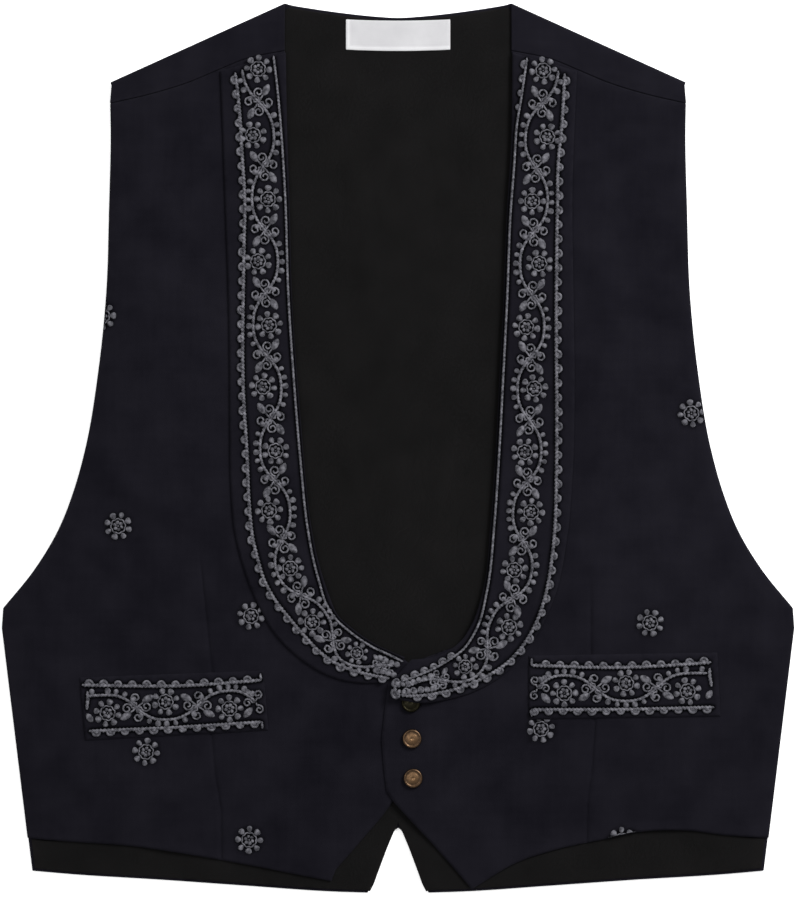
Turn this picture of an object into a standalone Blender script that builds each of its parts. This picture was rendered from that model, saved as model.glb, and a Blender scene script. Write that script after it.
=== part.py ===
"""Embroidered vest, laid flat with its back underneath.

The back lies on z = 0 with its lining on it, the two fronts lie on the lining, and collars, pocket
welts and buttons lie on the fronts. X runs across towards the wearer's left, Y up towards the neck,
Z out of the cloth. Tables are in millimetres: "out" is the distance from the middle line towards
the piece's own side, "up" is the height above the middle of the vest.
"""

import math

import bpy
import numpy as np

MM = 0.001

# Walls and clearances, in mm
SHELL = 1.4
LINING = 0.8
FRONT = 1.6
COLLAR_EDGE = 1.6
COLLAR_CROWN = 0.6
WELT_EDGE = 1.2
WELT_CROWN = 0.4
LABEL = 0.5
GAP = 0.3
EDGE_ROUND = 0.3
SEAM_SET_BACK = 0.75

# Sides of the body
RIGHT = -1
LEFT = 1

# Levels of the layers, in mm above the surface that the vest lies on
LINING_LEVEL = SHELL + GAP
FRONT_LEVEL = LINING_LEVEL + LINING + GAP
OVERLAP_RISE = FRONT + GAP
SIDE_DROP = LINING + GAP

# Outline shared by the back and the fronts: (out, up)
ARMHOLE = [
    (166.8, 200.5),
    (166.6, 185.0),
    (167.6, 138.0),
    (169.1, 92.0),
    (173.7, 46.0),
    (181.4, 0.0),
    (188.0, -24.0),
    (197.0, -47.0),
    (210.8, -70.0),
    (229.0, -92.5),
]
SIDE_TOP = (229.8, -104.0)
SIDE_FRONT_HEM = (214.9, -225.6)
SIDE_BACK_HEM = (212.2, -244.8)

# Back: the shoulder fold, the dip of the neck and the hem with its vent
NECK_POINT = (66.9, 258.3)
SHOULDER_TIP = (166.9, 213.0)
NECK_DIP = 8.1
NECK_POWER = 1.45
BACK_HEM = [
    (17.9, -257.5),
    (36.5, -256.9),
    (87.6, -253.5),
    (137.5, -250.0),
    (189.1, -246.8),
    SIDE_BACK_HEM,
]
VENT = [
    (17.9, -257.5),
    (15.8, -253.5),
    (13.3, -246.5),
    (10.7, -239.5),
    (8.1, -232.6),
    (5.2, -225.6),
    (3.7, -222.2),
    (2.2, -220.3),
]
VENT_TOP = (0.0, -219.8)

# Lining: how far it stays inside the hem, the side seam (and lower there) and the shoulder fold
LINING_IN = 1.6
LINING_SIDE_IN = 13.0
LINING_SIDE_DOWN = 5.85
LINING_FOLD_IN = 0.6

# Lining below the fronts' hems: how far it stays from the side seam and from the hem
LINING_CORNER_IN = 2.3
LINING_UNDER_HEM = 0.95

# Forward shoulder seam, from the neck to the armhole: (out, up)
SHOULDER_SEAM = [
    (66.0, 231.0),
    (88.7, 226.2),
    (104.0, 220.0),
    (122.0, 212.5),
    (145.0, 205.5),
    (166.8, 200.5),
]

# Hems of the fronts, from the point to the side seam: (out, up)
RIGHT_HEM = [
    (38.9, -250.6),
    (102.1, -238.4),
    (153.7, -230.3),
    (193.7, -227.4),
    SIDE_FRONT_HEM,
]
LEFT_HEM = [
    (42.9, -255.2),
    (69.6, -239.5),
    (90.5, -232.6),
    (121.8, -225.9),
    (142.7, -221.6),
    (165.3, -221.0),
    (190.2, -223.9),
    SIDE_FRONT_HEM,
]
HEM = {RIGHT: RIGHT_HEM, LEFT: LEFT_HEM}

# Front edges from the point up to the collar, straight between the rows: (out, up)
RIGHT_EDGE = [
    (38.9, -250.6),
    (36.5, -244.2),
    (24.4, -230.3),
    (9.3, -212.9),
    (3.5, -204.7),
    (-8.0, -191.5),
    (-19.0, -177.0),
    (-19.7, -150.0),
    (-16.0, -134.0),
    (-8.5, -126.5),
]
LEFT_EDGE = [
    (42.9, -255.2),
    (32.5, -243.0),
    (19.7, -228.5),
    (5.2, -212.9),
    (-2.3, -204.7),
    (-6.4, -198.4),
    (-8.1, -185.0),
    (-9.3, -168.2),
    (-7.6, -152.0),
    (-5.5, -136.5),
]
EDGE_UNDER_COLLAR = 1.2

# Collars, from the crossing up to the shoulder: inner edge and outer edge, (out, up)
RIGHT_COLLAR_INNER = [
    (-3.6, -121.0),
    (2.9, -118.3),
    (13.9, -113.1),
    (26.3, -104.6),
    (35.6, -96.0),
    (40.0, -85.5),
    (46.4, -65.5),
    (50.5, -45.8),
    (53.9, -18.0),
    (56.3, 11.0),
    (59.2, 46.4),
    (61.8, 87.0),
    (63.2, 138.6),
    (64.6, 185.0),
    (65.4, 229.5),
]
RIGHT_COLLAR_OUTER = [
    (7.6, -135.2),
    (20.3, -135.6),
    (37.7, -132.2),
    (56.8, -121.2),
    (71.3, -106.7),
    (81.2, -89.3),
    (88.7, -70.2),
    (94.0, -49.9),
    (96.6, -23.8),
    (97.2, 11.0),
    (97.4, 46.4),
    (98.0, 87.0),
    (99.8, 138.6),
    (101.4, 185.0),
    (102.8, 219.0),
]
LEFT_COLLAR_INNER = [
    (7.8, -122.4),
    (18.6, -121.2),
    (24.5, -119.6),
    (30.7, -116.4),
    (37.0, -111.0),
    (42.5, -102.7),
    (49.6, -81.8),
    (53.9, -44.7),
    (56.3, -12.2),
    (59.2, 41.8),
    (61.5, 87.0),
    (63.5, 138.6),
    (65.8, 175.0),
    (66.6, 229.5),
]
LEFT_COLLAR_OUTER = [
    (2.0, -145.2),
    (12.0, -146.8),
    (25.0, -145.6),
    (44.0, -140.4),
    (58.5, -132.5),
    (69.5, -122.8),
    (78.0, -111.5),
    (89.9, -87.6),
    (98.0, -50.0),
    (101.0, -14.0),
    (102.1, 35.0),
    (101.5, 87.0),
    (100.9, 150.0),
    (102.2, 190.0),
    (103.6, 219.0),
]
RIGHT_COLLAR_TIP = [(-3.6, -121.0), (7.6, -135.2)]
LEFT_COLLAR_TIP = [(7.8, -122.4), (1.5, -129.5), (-3.2, -135.6), (-3.3, -140.5), (2.0, -145.2)]

# Pocket welts: corners from the front edge's side, lower and upper, then the side seam's
RIGHT_WELT = [(75.4, -163.0), (78.3, -128.8), (181.0, -168.8), (184.4, -132.8)]
LEFT_WELT = [(76.0, -156.6), (76.0, -120.1), (186.8, -154.9), (185.0, -118.3)]

# Label at the back neck: half width, height and how far it hangs below the neck edge
LABEL_HALF = 30.0
LABEL_HEIGHT = 17.0
LABEL_BELOW = 1.4
LABEL_DIP = 0.75

# Buttons: place of each, and the turned cap's profile as (radius, height)
BUTTONS = {"button_top": (7.5, -147.0), "button_middle": (8.1, -167.9), "button_bottom": (8.7, -190.8)}
CAP = [
    (4.3, 0.0),
    (5.3, 0.4),
    (5.6, 1.1),
    (5.3, 1.8),
    (4.7, 2.05),
    (4.1, 1.8),
    (2.4, 2.1),
    (0.9, 2.2),
    (0.5, 1.95),
]
CAP_DIMPLE = 1.9
CAP_SIDES = 20

# Soft folds of the fronts: side, top and bottom end (out, up), half width and height
FOLDS = [
    (LEFT, (120.0, 150.0), (118.0, -95.0), 20.0, 1.0),
    (LEFT, (150.0, -168.0), (154.0, -240.0), 24.0, 1.2),
    (RIGHT, (140.0, 170.0), (146.0, 30.0), 22.0, 0.8),
    (RIGHT, (128.0, -180.0), (132.0, -250.0), 24.0, 0.9),
]
FOLD_FADE = 35.0

# Where the left front climbs over the right one, and where its collar climbs over the top button
RISE_ACROSS = (20.0, 70.0)
RISE_BELOW = (-238.0, -207.0)
RISE_ABOVE = (-60.0, -118.0)
BUTTON_RISE = 2.5
BUTTON_RISE_ACROSS = (6.0, 24.0)

# Shares of a front's width at which its outer edge begins to roll down to the back
ROLL_FROM = 0.955
ROLL_MIDDLE = 0.985
ROLL_END = 0.94

# Turned-over shoulder: stations round its half circle, and shares of the way on down to its seam
FOLD_TURNS = 7
FLAP_SHARES = (0.35, 0.7, 1.0)

# Points of the grids: across and along
BACK_NECK_POINTS = 4
BACK_SHOULDER_POINTS = 6
BACK_ROWS = 36
LINING_TOP_POINTS = 4
LINING_ROWS = 30
FRONT_COLUMNS = 13
FRONT_ROWS = 40
COLLAR_COLUMNS = 7
COLLAR_TIP_ROWS = 9
COLLAR_ROWS = 36
COLLAR_TIP_SHARE = 0.1
WELT_COLUMNS = 9
WELT_ROWS = 5
LABEL_COLUMNS = 9
LABEL_ROWS = 3
SHARP_ANGLE = math.radians(50)

# Colours of the pieces: red, green, blue, roughness, metallic
COLOURS = {
    "shell": (0.011, 0.010, 0.015, 0.85, 0.0),
    "lining": (0.010, 0.010, 0.010, 0.55, 0.0),
    "label": (0.70, 0.69, 0.71, 0.80, 0.0),
    "brass": (0.19, 0.12, 0.055, 0.40, 1.0),
}


def step_up(value, start, end):
    """Smooth step from 0 at start to 1 at end, which may lie either way round."""
    t = np.clip((value - start) / (end - start), 0.0, 1.0)
    return t * t * (3.0 - 2.0 * t)


def smooth(points, per=10):
    """Curve through the points, a cubic on each leg, with slopes weighted by the legs' lengths."""
    p = np.array(points, float)
    leg = np.linalg.norm(np.diff(p, axis=0), axis=1)[:, None]
    way = np.diff(p, axis=0) / leg
    inside = (way[:-1] * leg[1:] + way[1:] * leg[:-1]) / (leg[1:] + leg[:-1])
    slope = np.vstack([way[:1], inside, way[-1:]])
    t = np.linspace(0.0, 1.0, per, endpoint=False)[None, :, None]
    a, b = p[:-1, None], p[1:, None]
    m, n = (slope[:-1] * leg)[:, None], (slope[1:] * leg)[:, None]
    ends = a * (2 * t**3 - 3 * t**2 + 1) + b * (3 * t**2 - 2 * t**3)
    cubic = ends + m * (t**3 - 2 * t**2 + t) + n * (t**3 - t**2)
    return np.vstack([cubic.reshape(-1, 2), p[-1:]])


def joined(*lines):
    """Lines set end to end, each end met by a corner."""
    return np.vstack([np.array(line, float) for line in lines])


def run_shares(line):
    """Share of the line's whole length at each of its points."""
    run = np.concatenate([[0.0], np.cumsum(np.linalg.norm(np.diff(line, axis=0), axis=1))])
    return run / run[-1]


def at_shares(line, shares):
    """Points at the given shares of the line's length."""
    run = run_shares(line)
    return np.stack([np.interp(shares, run, line[:, k]) for k in range(2)], axis=1)


def with_corners(line, shares, corners):
    """Points at the shares, with the nearest share moved to each corner."""
    shares = np.array(shares, float)
    run = run_shares(line)
    for corner in corners:
        place = run[np.linalg.norm(line - np.array(corner), axis=1).argmin()]
        shares[np.abs(shares - place).argmin()] = place
    return at_shares(line, shares)


def shifted(line, by):
    """The line moved sideways, to the right of its own direction."""
    way = np.gradient(line, axis=0)
    way /= np.linalg.norm(way, axis=1)[:, None]
    return line + by * np.stack([way[:, 1], -way[:, 0]], axis=1)


def patch(left, right, bottom, top, u, v):
    """Coons patch: rows run up from bottom to top, columns across from left to right."""
    u, v = np.array(u)[None, :, None], np.array(v)[:, None, None]
    across = (1 - u) * left[:, None] + u * right[:, None]
    upward = (1 - v) * bottom[None] + v * top[None]
    corners = (1 - v) * ((1 - u) * bottom[0] + u * bottom[-1]) + v * ((1 - u) * top[0] + u * top[-1])
    return across + upward - corners


def grid_faces(rows, columns):
    """Quads of a grid of points, anticlockwise where columns run right and rows run up."""
    index = np.arange(rows * columns).reshape(rows, columns)
    return quads_between(index)


def quads_between(index):
    """Quads between the neighbouring rows and columns of a table of point numbers."""
    corners = [index[:-1, :-1], index[:-1, 1:], index[1:, 1:], index[1:, :-1]]
    return np.stack(corners, axis=-1).reshape(-1, 4)


def placed(plan, height, side):
    """Points of a grid in space: out and up from the plan, with the height at each."""
    return np.stack([side * plan[..., 0], plan[..., 1], height + 0.0 * plan[..., 0]], axis=-1).reshape(-1, 3)


def turned_faces(faces, side):
    """Faces for the named side, which keep facing out of the cloth when mirrored."""
    return faces if side == LEFT else faces[:, ::-1]


def welded(low, high, faces):
    """One sheet from several whose points meet on the middle line."""
    _, first, back = np.unique(np.round(low, 3), axis=0, return_index=True, return_inverse=True)
    return low[first], high[first], back.reshape(-1)[faces]


def material(slot):
    """The slot's plain finish, made once."""
    made = bpy.data.materials.get(slot)
    if made:
        return made
    made = bpy.data.materials.new(slot)
    made.use_nodes = True
    red, green, blue, roughness, metallic = COLOURS[slot]
    shader = made.node_tree.nodes["Principled BSDF"]
    shader.inputs["Base Color"].default_value = (red, green, blue, 1.0)
    shader.inputs["Roughness"].default_value = roughness
    shader.inputs["Metallic"].default_value = metallic
    return made


def add_object(name, points, faces, slot):
    """A named object from points in mm and faces."""
    mesh = bpy.data.meshes.new(name)
    mesh.from_pydata((np.asarray(points) * MM).tolist(), [], [list(map(int, f)) for f in faces])
    mesh.shade_smooth()
    mesh.set_sharp_from_angle(angle=SHARP_ANGLE)
    finish = material(slot).copy()
    finish.name = name
    mesh.materials.append(finish)
    thing = bpy.data.objects.new(name, mesh)
    bpy.context.scene.collection.objects.link(thing)
    return thing


def wall(name, low, high, faces, slot):
    """Closed wall between two sheets with the same faces, with a rounded rim along every free edge."""
    count = len(low)
    ends = np.stack([faces, np.roll(faces, -1, axis=1)], axis=-1).reshape(-1, 2)
    free = ends[~np.isin(ends[:, 0] * count + ends[:, 1], ends[:, 1] * count + ends[:, 0])]
    up = high - low
    up /= np.linalg.norm(up, axis=1)[:, None]
    outward = np.zeros_like(low)
    for end in (0, 1):
        way = np.cross(low[free[:, 1]] - low[free[:, 0]], up[free[:, end]])
        np.add.at(outward, free[:, end], way / np.linalg.norm(way, axis=1)[:, None])
    rim = np.unique(free)
    outward = outward[rim] / np.linalg.norm(outward[rim], axis=1)[:, None]
    middle = (low[rim] + high[rim]) / 2 + EDGE_ROUND * outward
    rank = np.zeros(count, int)
    rank[rim] = np.arange(len(rim)) + 2 * count
    a, b = free[:, 0], free[:, 1]
    lower = np.stack([a, b, rank[b], rank[a]], axis=1)
    upper = np.stack([rank[a], rank[b], b + count, a + count], axis=1)
    quads = np.vstack([faces[:, ::-1], faces + count, lower, upper])
    return add_object(name, np.vstack([low, high, middle]), quads, slot)


def fold_height(side, plan):
    """Height of the soft folds over a plan: a rounded ridge across each fold, fading at its ends."""
    out, up = plan[..., 0], plan[..., 1]
    total = 0.0 * out
    for fold_side, top, bottom, half, height in FOLDS:
        if fold_side != side:
            continue
        down = np.clip((top[1] - up) / (top[1] - bottom[1]), 0.0, 1.0)
        middle = top[0] + (bottom[0] - top[0]) * down
        across = np.clip(np.abs(out - middle) / half, 0.0, 1.0)
        ends = step_up(up, top[1], top[1] - FOLD_FADE) * step_up(up, bottom[1] - FOLD_FADE, bottom[1])
        total = total + height * ends * (0.5 + 0.5 * np.cos(math.pi * across))
    return total


def overlap_height(side, plan):
    """Rise of the left front where the right one lies under it."""
    if side == RIGHT:
        return 0.0 * plan[..., 0]
    across = 1.0 - step_up(plan[..., 0], *RISE_ACROSS)
    return OVERLAP_RISE * across * step_up(plan[..., 1], *RISE_BELOW) * step_up(plan[..., 1], *RISE_ABOVE)


def front_underside(side, plan):
    """Height of a front's inner face over a plan, without the roll at its outer edge."""
    return FRONT_LEVEL + fold_height(side, plan) + overlap_height(side, plan)


def front_face(side, plan):
    """Height of a front's outer face over a plan."""
    return front_underside(side, plan) + FRONT


def neck_edge(out, below=0.0):
    """Height of the back neck edge at a distance from the middle line."""
    low = NECK_POINT[1] - NECK_DIP
    return low + NECK_DIP * (np.abs(out) / NECK_POINT[0]) ** NECK_POWER - below


def outer_edge(bottom, top):
    """Side seam and armhole between two ends, with the underarm corner."""
    return joined([bottom, SIDE_TOP], smooth(ARMHOLE)[::-1], [top])


def shoulder_line():
    """Where the back's wall starts to turn over: the fold's outline moved in by the turn's radius."""
    ends = np.array([NECK_POINT, SHOULDER_TIP])
    along = (ends[1] - ends[0]) / np.linalg.norm(ends[1] - ends[0])
    inward = np.array([along[1], -along[0]])
    radius = (FRONT_LEVEL + SHELL) / 2
    return ends + radius * inward, inward, radius


def half_back(side):
    """Half of the back's wall, with its shoulder turned over the fold down to the forward seam."""
    start, inward, radius = shoulder_line()
    neck_out = np.linspace(0.0, 1.0, BACK_NECK_POINTS) * start[0][0]
    neck = np.stack([neck_out, neck_edge(neck_out)], axis=1)
    neck[-1] = start[0]
    share = np.linspace(0.0, 1.0, BACK_SHOULDER_POINTS)
    shoulder = start[0] + share[:, None] * (start[1] - start[0])
    top = joined(neck, shoulder[1:])
    u = run_shares(top)
    v = np.linspace(0.0, 1.0, BACK_ROWS)
    inner = joined(VENT, [VENT_TOP, (0.0, neck[0][1])])
    outer = outer_edge(SIDE_BACK_HEM, start[1])
    hem = smooth(BACK_HEM)
    plan = patch(
        with_corners(inner, v, [VENT_TOP]),
        with_corners(outer, v, [SIDE_TOP, ARMHOLE[-1]]),
        at_shares(hem, u),
        top,
        u,
        v,
    )
    low = placed(plan, 0.0, side)
    high = placed(plan, SHELL, side)
    faces = grid_faces(*plan.shape[:2])

    seam = at_shares(shifted(smooth(SHOULDER_SEAM), -SEAM_SET_BACK), share)
    low_rows, high_rows = [], []
    for turn in np.linspace(0.0, math.pi, FOLD_TURNS)[1:]:
        for rows_of, reach in ((low_rows, radius), (high_rows, radius - SHELL)):
            ring = shoulder - reach * math.sin(turn) * inward
            rows_of.append(placed(ring, radius - reach * math.cos(turn), side))
    for flap in FLAP_SHARES:
        strip = shoulder + flap * (seam - shoulder)
        low_rows.append(placed(strip, 2 * radius, side))
        high_rows.append(placed(strip, 2 * radius - SHELL, side))
    first = (BACK_ROWS - 1) * len(top) + BACK_NECK_POINTS - 1 + np.arange(BACK_SHOULDER_POINTS)
    index = len(low) + np.arange(len(low_rows) * len(first)).reshape(len(low_rows), -1)
    faces = np.vstack([faces, quads_between(np.vstack([first[None], index]))])
    return np.vstack([low] + low_rows), np.vstack([high] + high_rows), turned_faces(faces, side)


def both_halves(half):
    """A sheet from the right and the left half, welded on the middle line."""
    low, high, faces = half(RIGHT)
    low_left, high_left, faces_left = half(LEFT)
    return welded(
        np.vstack([low, low_left]),
        np.vstack([high, high_left]),
        np.vstack([faces, faces_left + len(low)]),
    )


def make_back():
    """Outer back panel with its vent and turned-over shoulders."""
    wall("back", *both_halves(half_back), "shell")


def lining_corner(side):
    """Ends of the lining's edge along the front's hem: near the side seam, and under the front."""
    hem = smooth(HEM[side])
    out = np.array([SIDE_FRONT_HEM[0] - LINING_CORNER_IN, SIDE_FRONT_HEM[0] - LINING_SIDE_IN])
    return np.stack([out, np.interp(out, hem[:, 0], hem[:, 1]) - LINING_UNDER_HEM], axis=1)


def half_lining(side):
    """Half of the back lining: wide below the front's hem, inside the side seam above it."""
    start, inward, _ = shoulder_line()
    start = start + LINING_FOLD_IN * inward
    share = np.linspace(0.0, 1.0, LINING_TOP_POINTS)
    neck_out = share * start[0][0]
    neck = np.stack([neck_out, neck_edge(neck_out, LINING_IN)], axis=1)
    neck[-1] = start[0] - [0.0, LINING_IN]
    end = start[1] - [LINING_SIDE_IN, -LINING_SIDE_DOWN]
    shoulder = neck[-1] + share[:, None] * (end - neck[-1])
    top = joined(neck, shoulder[1:])
    u = run_shares(top)
    v = np.linspace(0.0, 1.0, LINING_ROWS)
    vent = shifted(joined(VENT), -LINING_IN) + [0.0, LINING_IN]
    vent_top = (0.0, VENT_TOP[1] + 2 * LINING_IN)
    inner = joined(vent, [vent_top, (0.0, neck[0][1])])
    outer = outer_edge(SIDE_FRONT_HEM, SHOULDER_TIP)[1:] - [LINING_SIDE_IN, LINING_IN]
    outer[-1] = end
    corner = lining_corner(side)
    outer = joined([np.array(SIDE_BACK_HEM) + [-LINING_IN, LINING_IN]], corner, outer)
    hem = smooth(BACK_HEM) + [0.0, LINING_IN]
    hem[0] = vent[0]
    hem[-1] = outer[0]
    plan = patch(
        with_corners(inner, v, [vent_top]),
        with_corners(outer, v, corner),
        at_shares(hem, u),
        top,
        u,
        v,
    )
    low = placed(plan, LINING_LEVEL, side)
    high = placed(plan, LINING_LEVEL + LINING, side)
    return low, high, turned_faces(grid_faces(*plan.shape[:2]), side)


def make_lining():
    """Back lining, seen in the neck and below the fronts' hems."""
    wall("back_lining", *both_halves(half_lining), "lining")


def make_front(name, side, edge, collar_inner):
    """A front: its inner edge runs just under the collar's, its outer edge rolls down to the back."""
    u = np.concatenate([np.linspace(0.0, ROLL_FROM, FRONT_COLUMNS), [ROLL_MIDDLE, 1.0]])
    v = np.linspace(0.0, 1.0, FRONT_ROWS)
    seam = shifted(smooth(SHOULDER_SEAM), EDGE_ROUND)
    under = shifted(smooth(collar_inner), EDGE_UNDER_COLLAR)
    under[-1] = seam[0]
    inner = joined(edge, under)
    outer = outer_edge(SIDE_FRONT_HEM, seam[-1])
    corners = [edge[0], edge[-1]]
    plan = patch(
        with_corners(inner, v, corners),
        with_corners(outer, v, [SIDE_TOP, ARMHOLE[-1]]),
        at_shares(smooth(HEM[side]), u),
        at_shares(seam, u),
        u,
        v,
    )
    across = np.clip((u - ROLL_FROM) / (1.0 - ROLL_FROM), 0.0, 1.0)
    roll = across[None] * step_up(v, 1.0, ROLL_END)[:, None]
    under_face = front_underside(side, plan) - SIDE_DROP * roll
    low = placed(plan, under_face, side)
    high = placed(plan, under_face + FRONT, side)
    wall(name, low, high, turned_faces(grid_faces(*plan.shape[:2]), side), "shell")


def button_rise(side, plan):
    """Rise of the left collar's tip where it rests on the top button."""
    if side == RIGHT:
        return 0.0 * plan[..., 0]
    far = np.linalg.norm(plan - np.array(BUTTONS["button_top"]), axis=-1)
    return BUTTON_RISE * (1.0 - step_up(far, *BUTTON_RISE_ACROSS))


def crowned(name, side, plan, u, edge, crown, slot):
    """A band on a front: its underside follows the front's face, its top is crowned across."""
    under = front_face(side, plan) + GAP + button_rise(side, plan)
    thick = edge + crown * (1.0 - (2.0 * np.array(u) - 1.0) ** 4)[None]
    low = placed(plan, under, side)
    high = placed(plan, under + thick, side)
    wall(name, low, high, turned_faces(grid_faces(*plan.shape[:2]), side), slot)


def make_collar(name, side, inner, outer, tip):
    """A long collar band from the crossing up to the shoulder seam, narrower towards its tip."""
    u = np.linspace(0.0, 1.0, COLLAR_COLUMNS)
    near_tip = np.linspace(0.0, COLLAR_TIP_SHARE, COLLAR_TIP_ROWS)
    v = np.concatenate([near_tip, np.linspace(COLLAR_TIP_SHARE, 1.0, COLLAR_ROWS)[1:]])
    inner, outer = smooth(inner), smooth(outer)
    top = np.stack([inner[-1], outer[-1]])
    end = smooth(tip) if len(tip) > 2 else np.array(tip, float)
    left, right = at_shares(inner, v), at_shares(outer, v)
    plan = patch(left, right, at_shares(end, u), at_shares(top, u), u, v)
    crowned(name, side, plan, u, COLLAR_EDGE, COLLAR_CROWN, "shell")


def make_welt(name, side, corners):
    """A pocket welt: a straight-sided band, its crown running along it."""
    low_in, high_in, low_out, high_out = (np.array(c, float) for c in corners)
    u = np.linspace(0.0, 1.0, WELT_COLUMNS)[:, None]
    v = np.linspace(0.0, 1.0, WELT_ROWS)[:, None, None]
    plan = (1 - v) * (low_in + u * (low_out - low_in)) + v * (high_in + u * (high_out - high_in))
    under = front_face(side, plan) + GAP
    thick = WELT_EDGE + WELT_CROWN * (1.0 - (2.0 * v[:, :, 0] - 1.0) ** 4)
    low = placed(plan, under, side)
    high = placed(plan, under + thick, side)
    wall(name, low, high, turned_faces(grid_faces(*plan.shape[:2]), side), "shell")


def make_label():
    """Bare woven label on the lining, its long edges bowed with the neck."""
    across = np.linspace(-LABEL_HALF, LABEL_HALF, LABEL_COLUMNS)[None]
    down = np.linspace(1.0, 0.0, LABEL_ROWS)[:, None]
    bow = LABEL_DIP * (across / LABEL_HALF) ** 2
    up = NECK_POINT[1] - NECK_DIP - LABEL_BELOW - LABEL_HEIGHT * down + bow
    plan = np.stack([across + 0.0 * down, up], axis=-1)
    level = LINING_LEVEL + LINING + GAP
    low = placed(plan, level, LEFT)
    high = placed(plan, level + LABEL, LEFT)
    wall("label", low, high, grid_faces(*plan.shape[:2]), "label")


def make_button(name, place):
    """A turned cap with a raised rim and a dimple, resting on the left front."""
    level = front_face(LEFT, np.array(place, float)[None])[0] + GAP
    turn = np.arange(CAP_SIDES) * 2.0 * math.pi / CAP_SIDES
    rings = [
        np.stack([place[0] + r * np.cos(turn), place[1] + r * np.sin(turn), level + h + 0.0 * turn], axis=1)
        for r, h in CAP
    ]
    points = np.vstack(rings + [[[*place, level + CAP[0][1]], [*place, level + CAP_DIMPLE]]])
    ring = np.arange(CAP_SIDES)
    after = np.roll(ring, -1)
    faces = []
    for k in range(len(CAP) - 1):
        low, high = k * CAP_SIDES, (k + 1) * CAP_SIDES
        faces += np.stack([low + ring, low + after, high + after, high + ring], axis=1).tolist()
    floor, dimple = len(points) - 2, len(points) - 1
    last = (len(CAP) - 1) * CAP_SIDES
    faces += [[floor, b, a] for a, b in zip(ring, after)]
    faces += [[last + a, last + b, dimple] for a, b in zip(ring, after)]
    add_object(name, points, faces, "brass")


def main():
    """Clears the scene and builds every piece."""
    for thing in list(bpy.data.objects):
        bpy.data.objects.remove(thing)
    make_back()
    make_lining()
    make_front("front_right", RIGHT, RIGHT_EDGE, RIGHT_COLLAR_INNER)
    make_front("front_left", LEFT, LEFT_EDGE, LEFT_COLLAR_INNER)
    make_collar("collar_right", RIGHT, RIGHT_COLLAR_INNER, RIGHT_COLLAR_OUTER, RIGHT_COLLAR_TIP)
    make_collar("collar_left", LEFT, LEFT_COLLAR_INNER, LEFT_COLLAR_OUTER, LEFT_COLLAR_TIP)
    make_welt("welt_right", RIGHT, RIGHT_WELT)
    make_welt("welt_left", LEFT, LEFT_WELT)
    make_label()
    for name, place in BUTTONS.items():
        make_button(name, place)


main()
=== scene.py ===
"""Looks of the embroidered vest laid flat: cloth, lining, bands, stitches, caps and label.

Sizes are in millimetres and put into metres when a mesh is made. A plan is an array of points
(out, up): out from the middle line towards the piece's own side, up from the middle of the vest.
"""

import math

import bpy
import numpy as np
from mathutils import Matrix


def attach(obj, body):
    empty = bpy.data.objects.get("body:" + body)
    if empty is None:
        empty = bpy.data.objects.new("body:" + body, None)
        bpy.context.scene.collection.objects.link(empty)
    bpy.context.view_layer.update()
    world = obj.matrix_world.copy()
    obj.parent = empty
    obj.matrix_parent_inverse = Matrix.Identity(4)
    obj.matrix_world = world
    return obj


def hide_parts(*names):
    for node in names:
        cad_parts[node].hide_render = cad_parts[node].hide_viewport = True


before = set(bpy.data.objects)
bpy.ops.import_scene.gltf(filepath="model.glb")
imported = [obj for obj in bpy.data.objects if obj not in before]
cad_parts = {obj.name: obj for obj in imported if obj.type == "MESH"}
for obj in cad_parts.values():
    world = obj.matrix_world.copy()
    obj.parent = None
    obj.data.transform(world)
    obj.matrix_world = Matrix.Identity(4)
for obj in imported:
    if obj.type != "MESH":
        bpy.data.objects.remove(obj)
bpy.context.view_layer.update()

MM = 0.001
RIGHT = -1
LEFT = 1

# Walls and clearances
SHELL = 1.4
LINING = 0.8
FRONT = 1.6
COLLAR_EDGE = 1.6
COLLAR_CROWN = 0.6
WELT_EDGE = 1.2
WELT_CROWN = 0.4
WELT_SETTLE = 0.16
LABEL = 0.5
GAP = 0.3
EDGE_ROUND = 0.3
SEAM_SET_BACK = 0.5
LINING_LEVEL = SHELL + GAP
FRONT_LEVEL = LINING_LEVEL + LINING + GAP
OVERLAP_RISE = FRONT + GAP
SIDE_DROP = LINING + GAP

# Outline shared by the back and the fronts: (out, up)
ARMHOLE = [
    (166.8, 200.5),
    (166.6, 185.0),
    (167.6, 138.0),
    (169.1, 92.0),
    (173.7, 46.0),
    (181.4, 0.0),
    (188.0, -24.0),
    (197.0, -47.0),
    (210.8, -70.0),
    (229.0, -92.5),
]
SIDE_TOP = (229.8, -104.0)
SIDE_FRONT_HEM = (214.9, -225.6)
SIDE_BACK_HEM = (212.2, -244.8)

# Back: shoulder fold, neck, hem and vent
NECK_POINT = (66.9, 258.3)
SHOULDER_TIP = (166.9, 213.0)
NECK_DIP = 8.1
NECK_POWER = 1.45
BACK_HEM = [(17.9, -257.5), (36.5, -256.9), (87.6, -253.5), (137.5, -250.0), (189.1, -246.8), SIDE_BACK_HEM]
VENT = [
    (17.9, -257.5),
    (15.8, -253.5),
    (13.3, -246.5),
    (10.7, -239.5),
    (8.1, -232.6),
    (5.2, -225.6),
    (3.7, -222.2),
    (2.2, -220.3),
]
VENT_TOP = (0.0, -219.8)
NECK_TURN = 3.3
LINING_IN = 1.6
LINING_SIDE_IN = 13.0
LINING_SIDE_DOWN = 5.85
LINING_FOLD_IN = 0.6
LINING_CORNER_IN = 2.3
LINING_UNDER_HEM = 0.95
BACK_SEAM_WIDTH = 0.6
BACK_SEAM_DEPTH = 0.45
BACK_SEAM_FADE = 6.0
BACK_DART_AT = (96.0, -80.0)
BACK_DART_LEAN = 0.03
BACK_DART_WIDTH = 1.6
BACK_DART_DEPTH = 0.3
BACK_DART_FADE = (10.0, -30.0)
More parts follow.
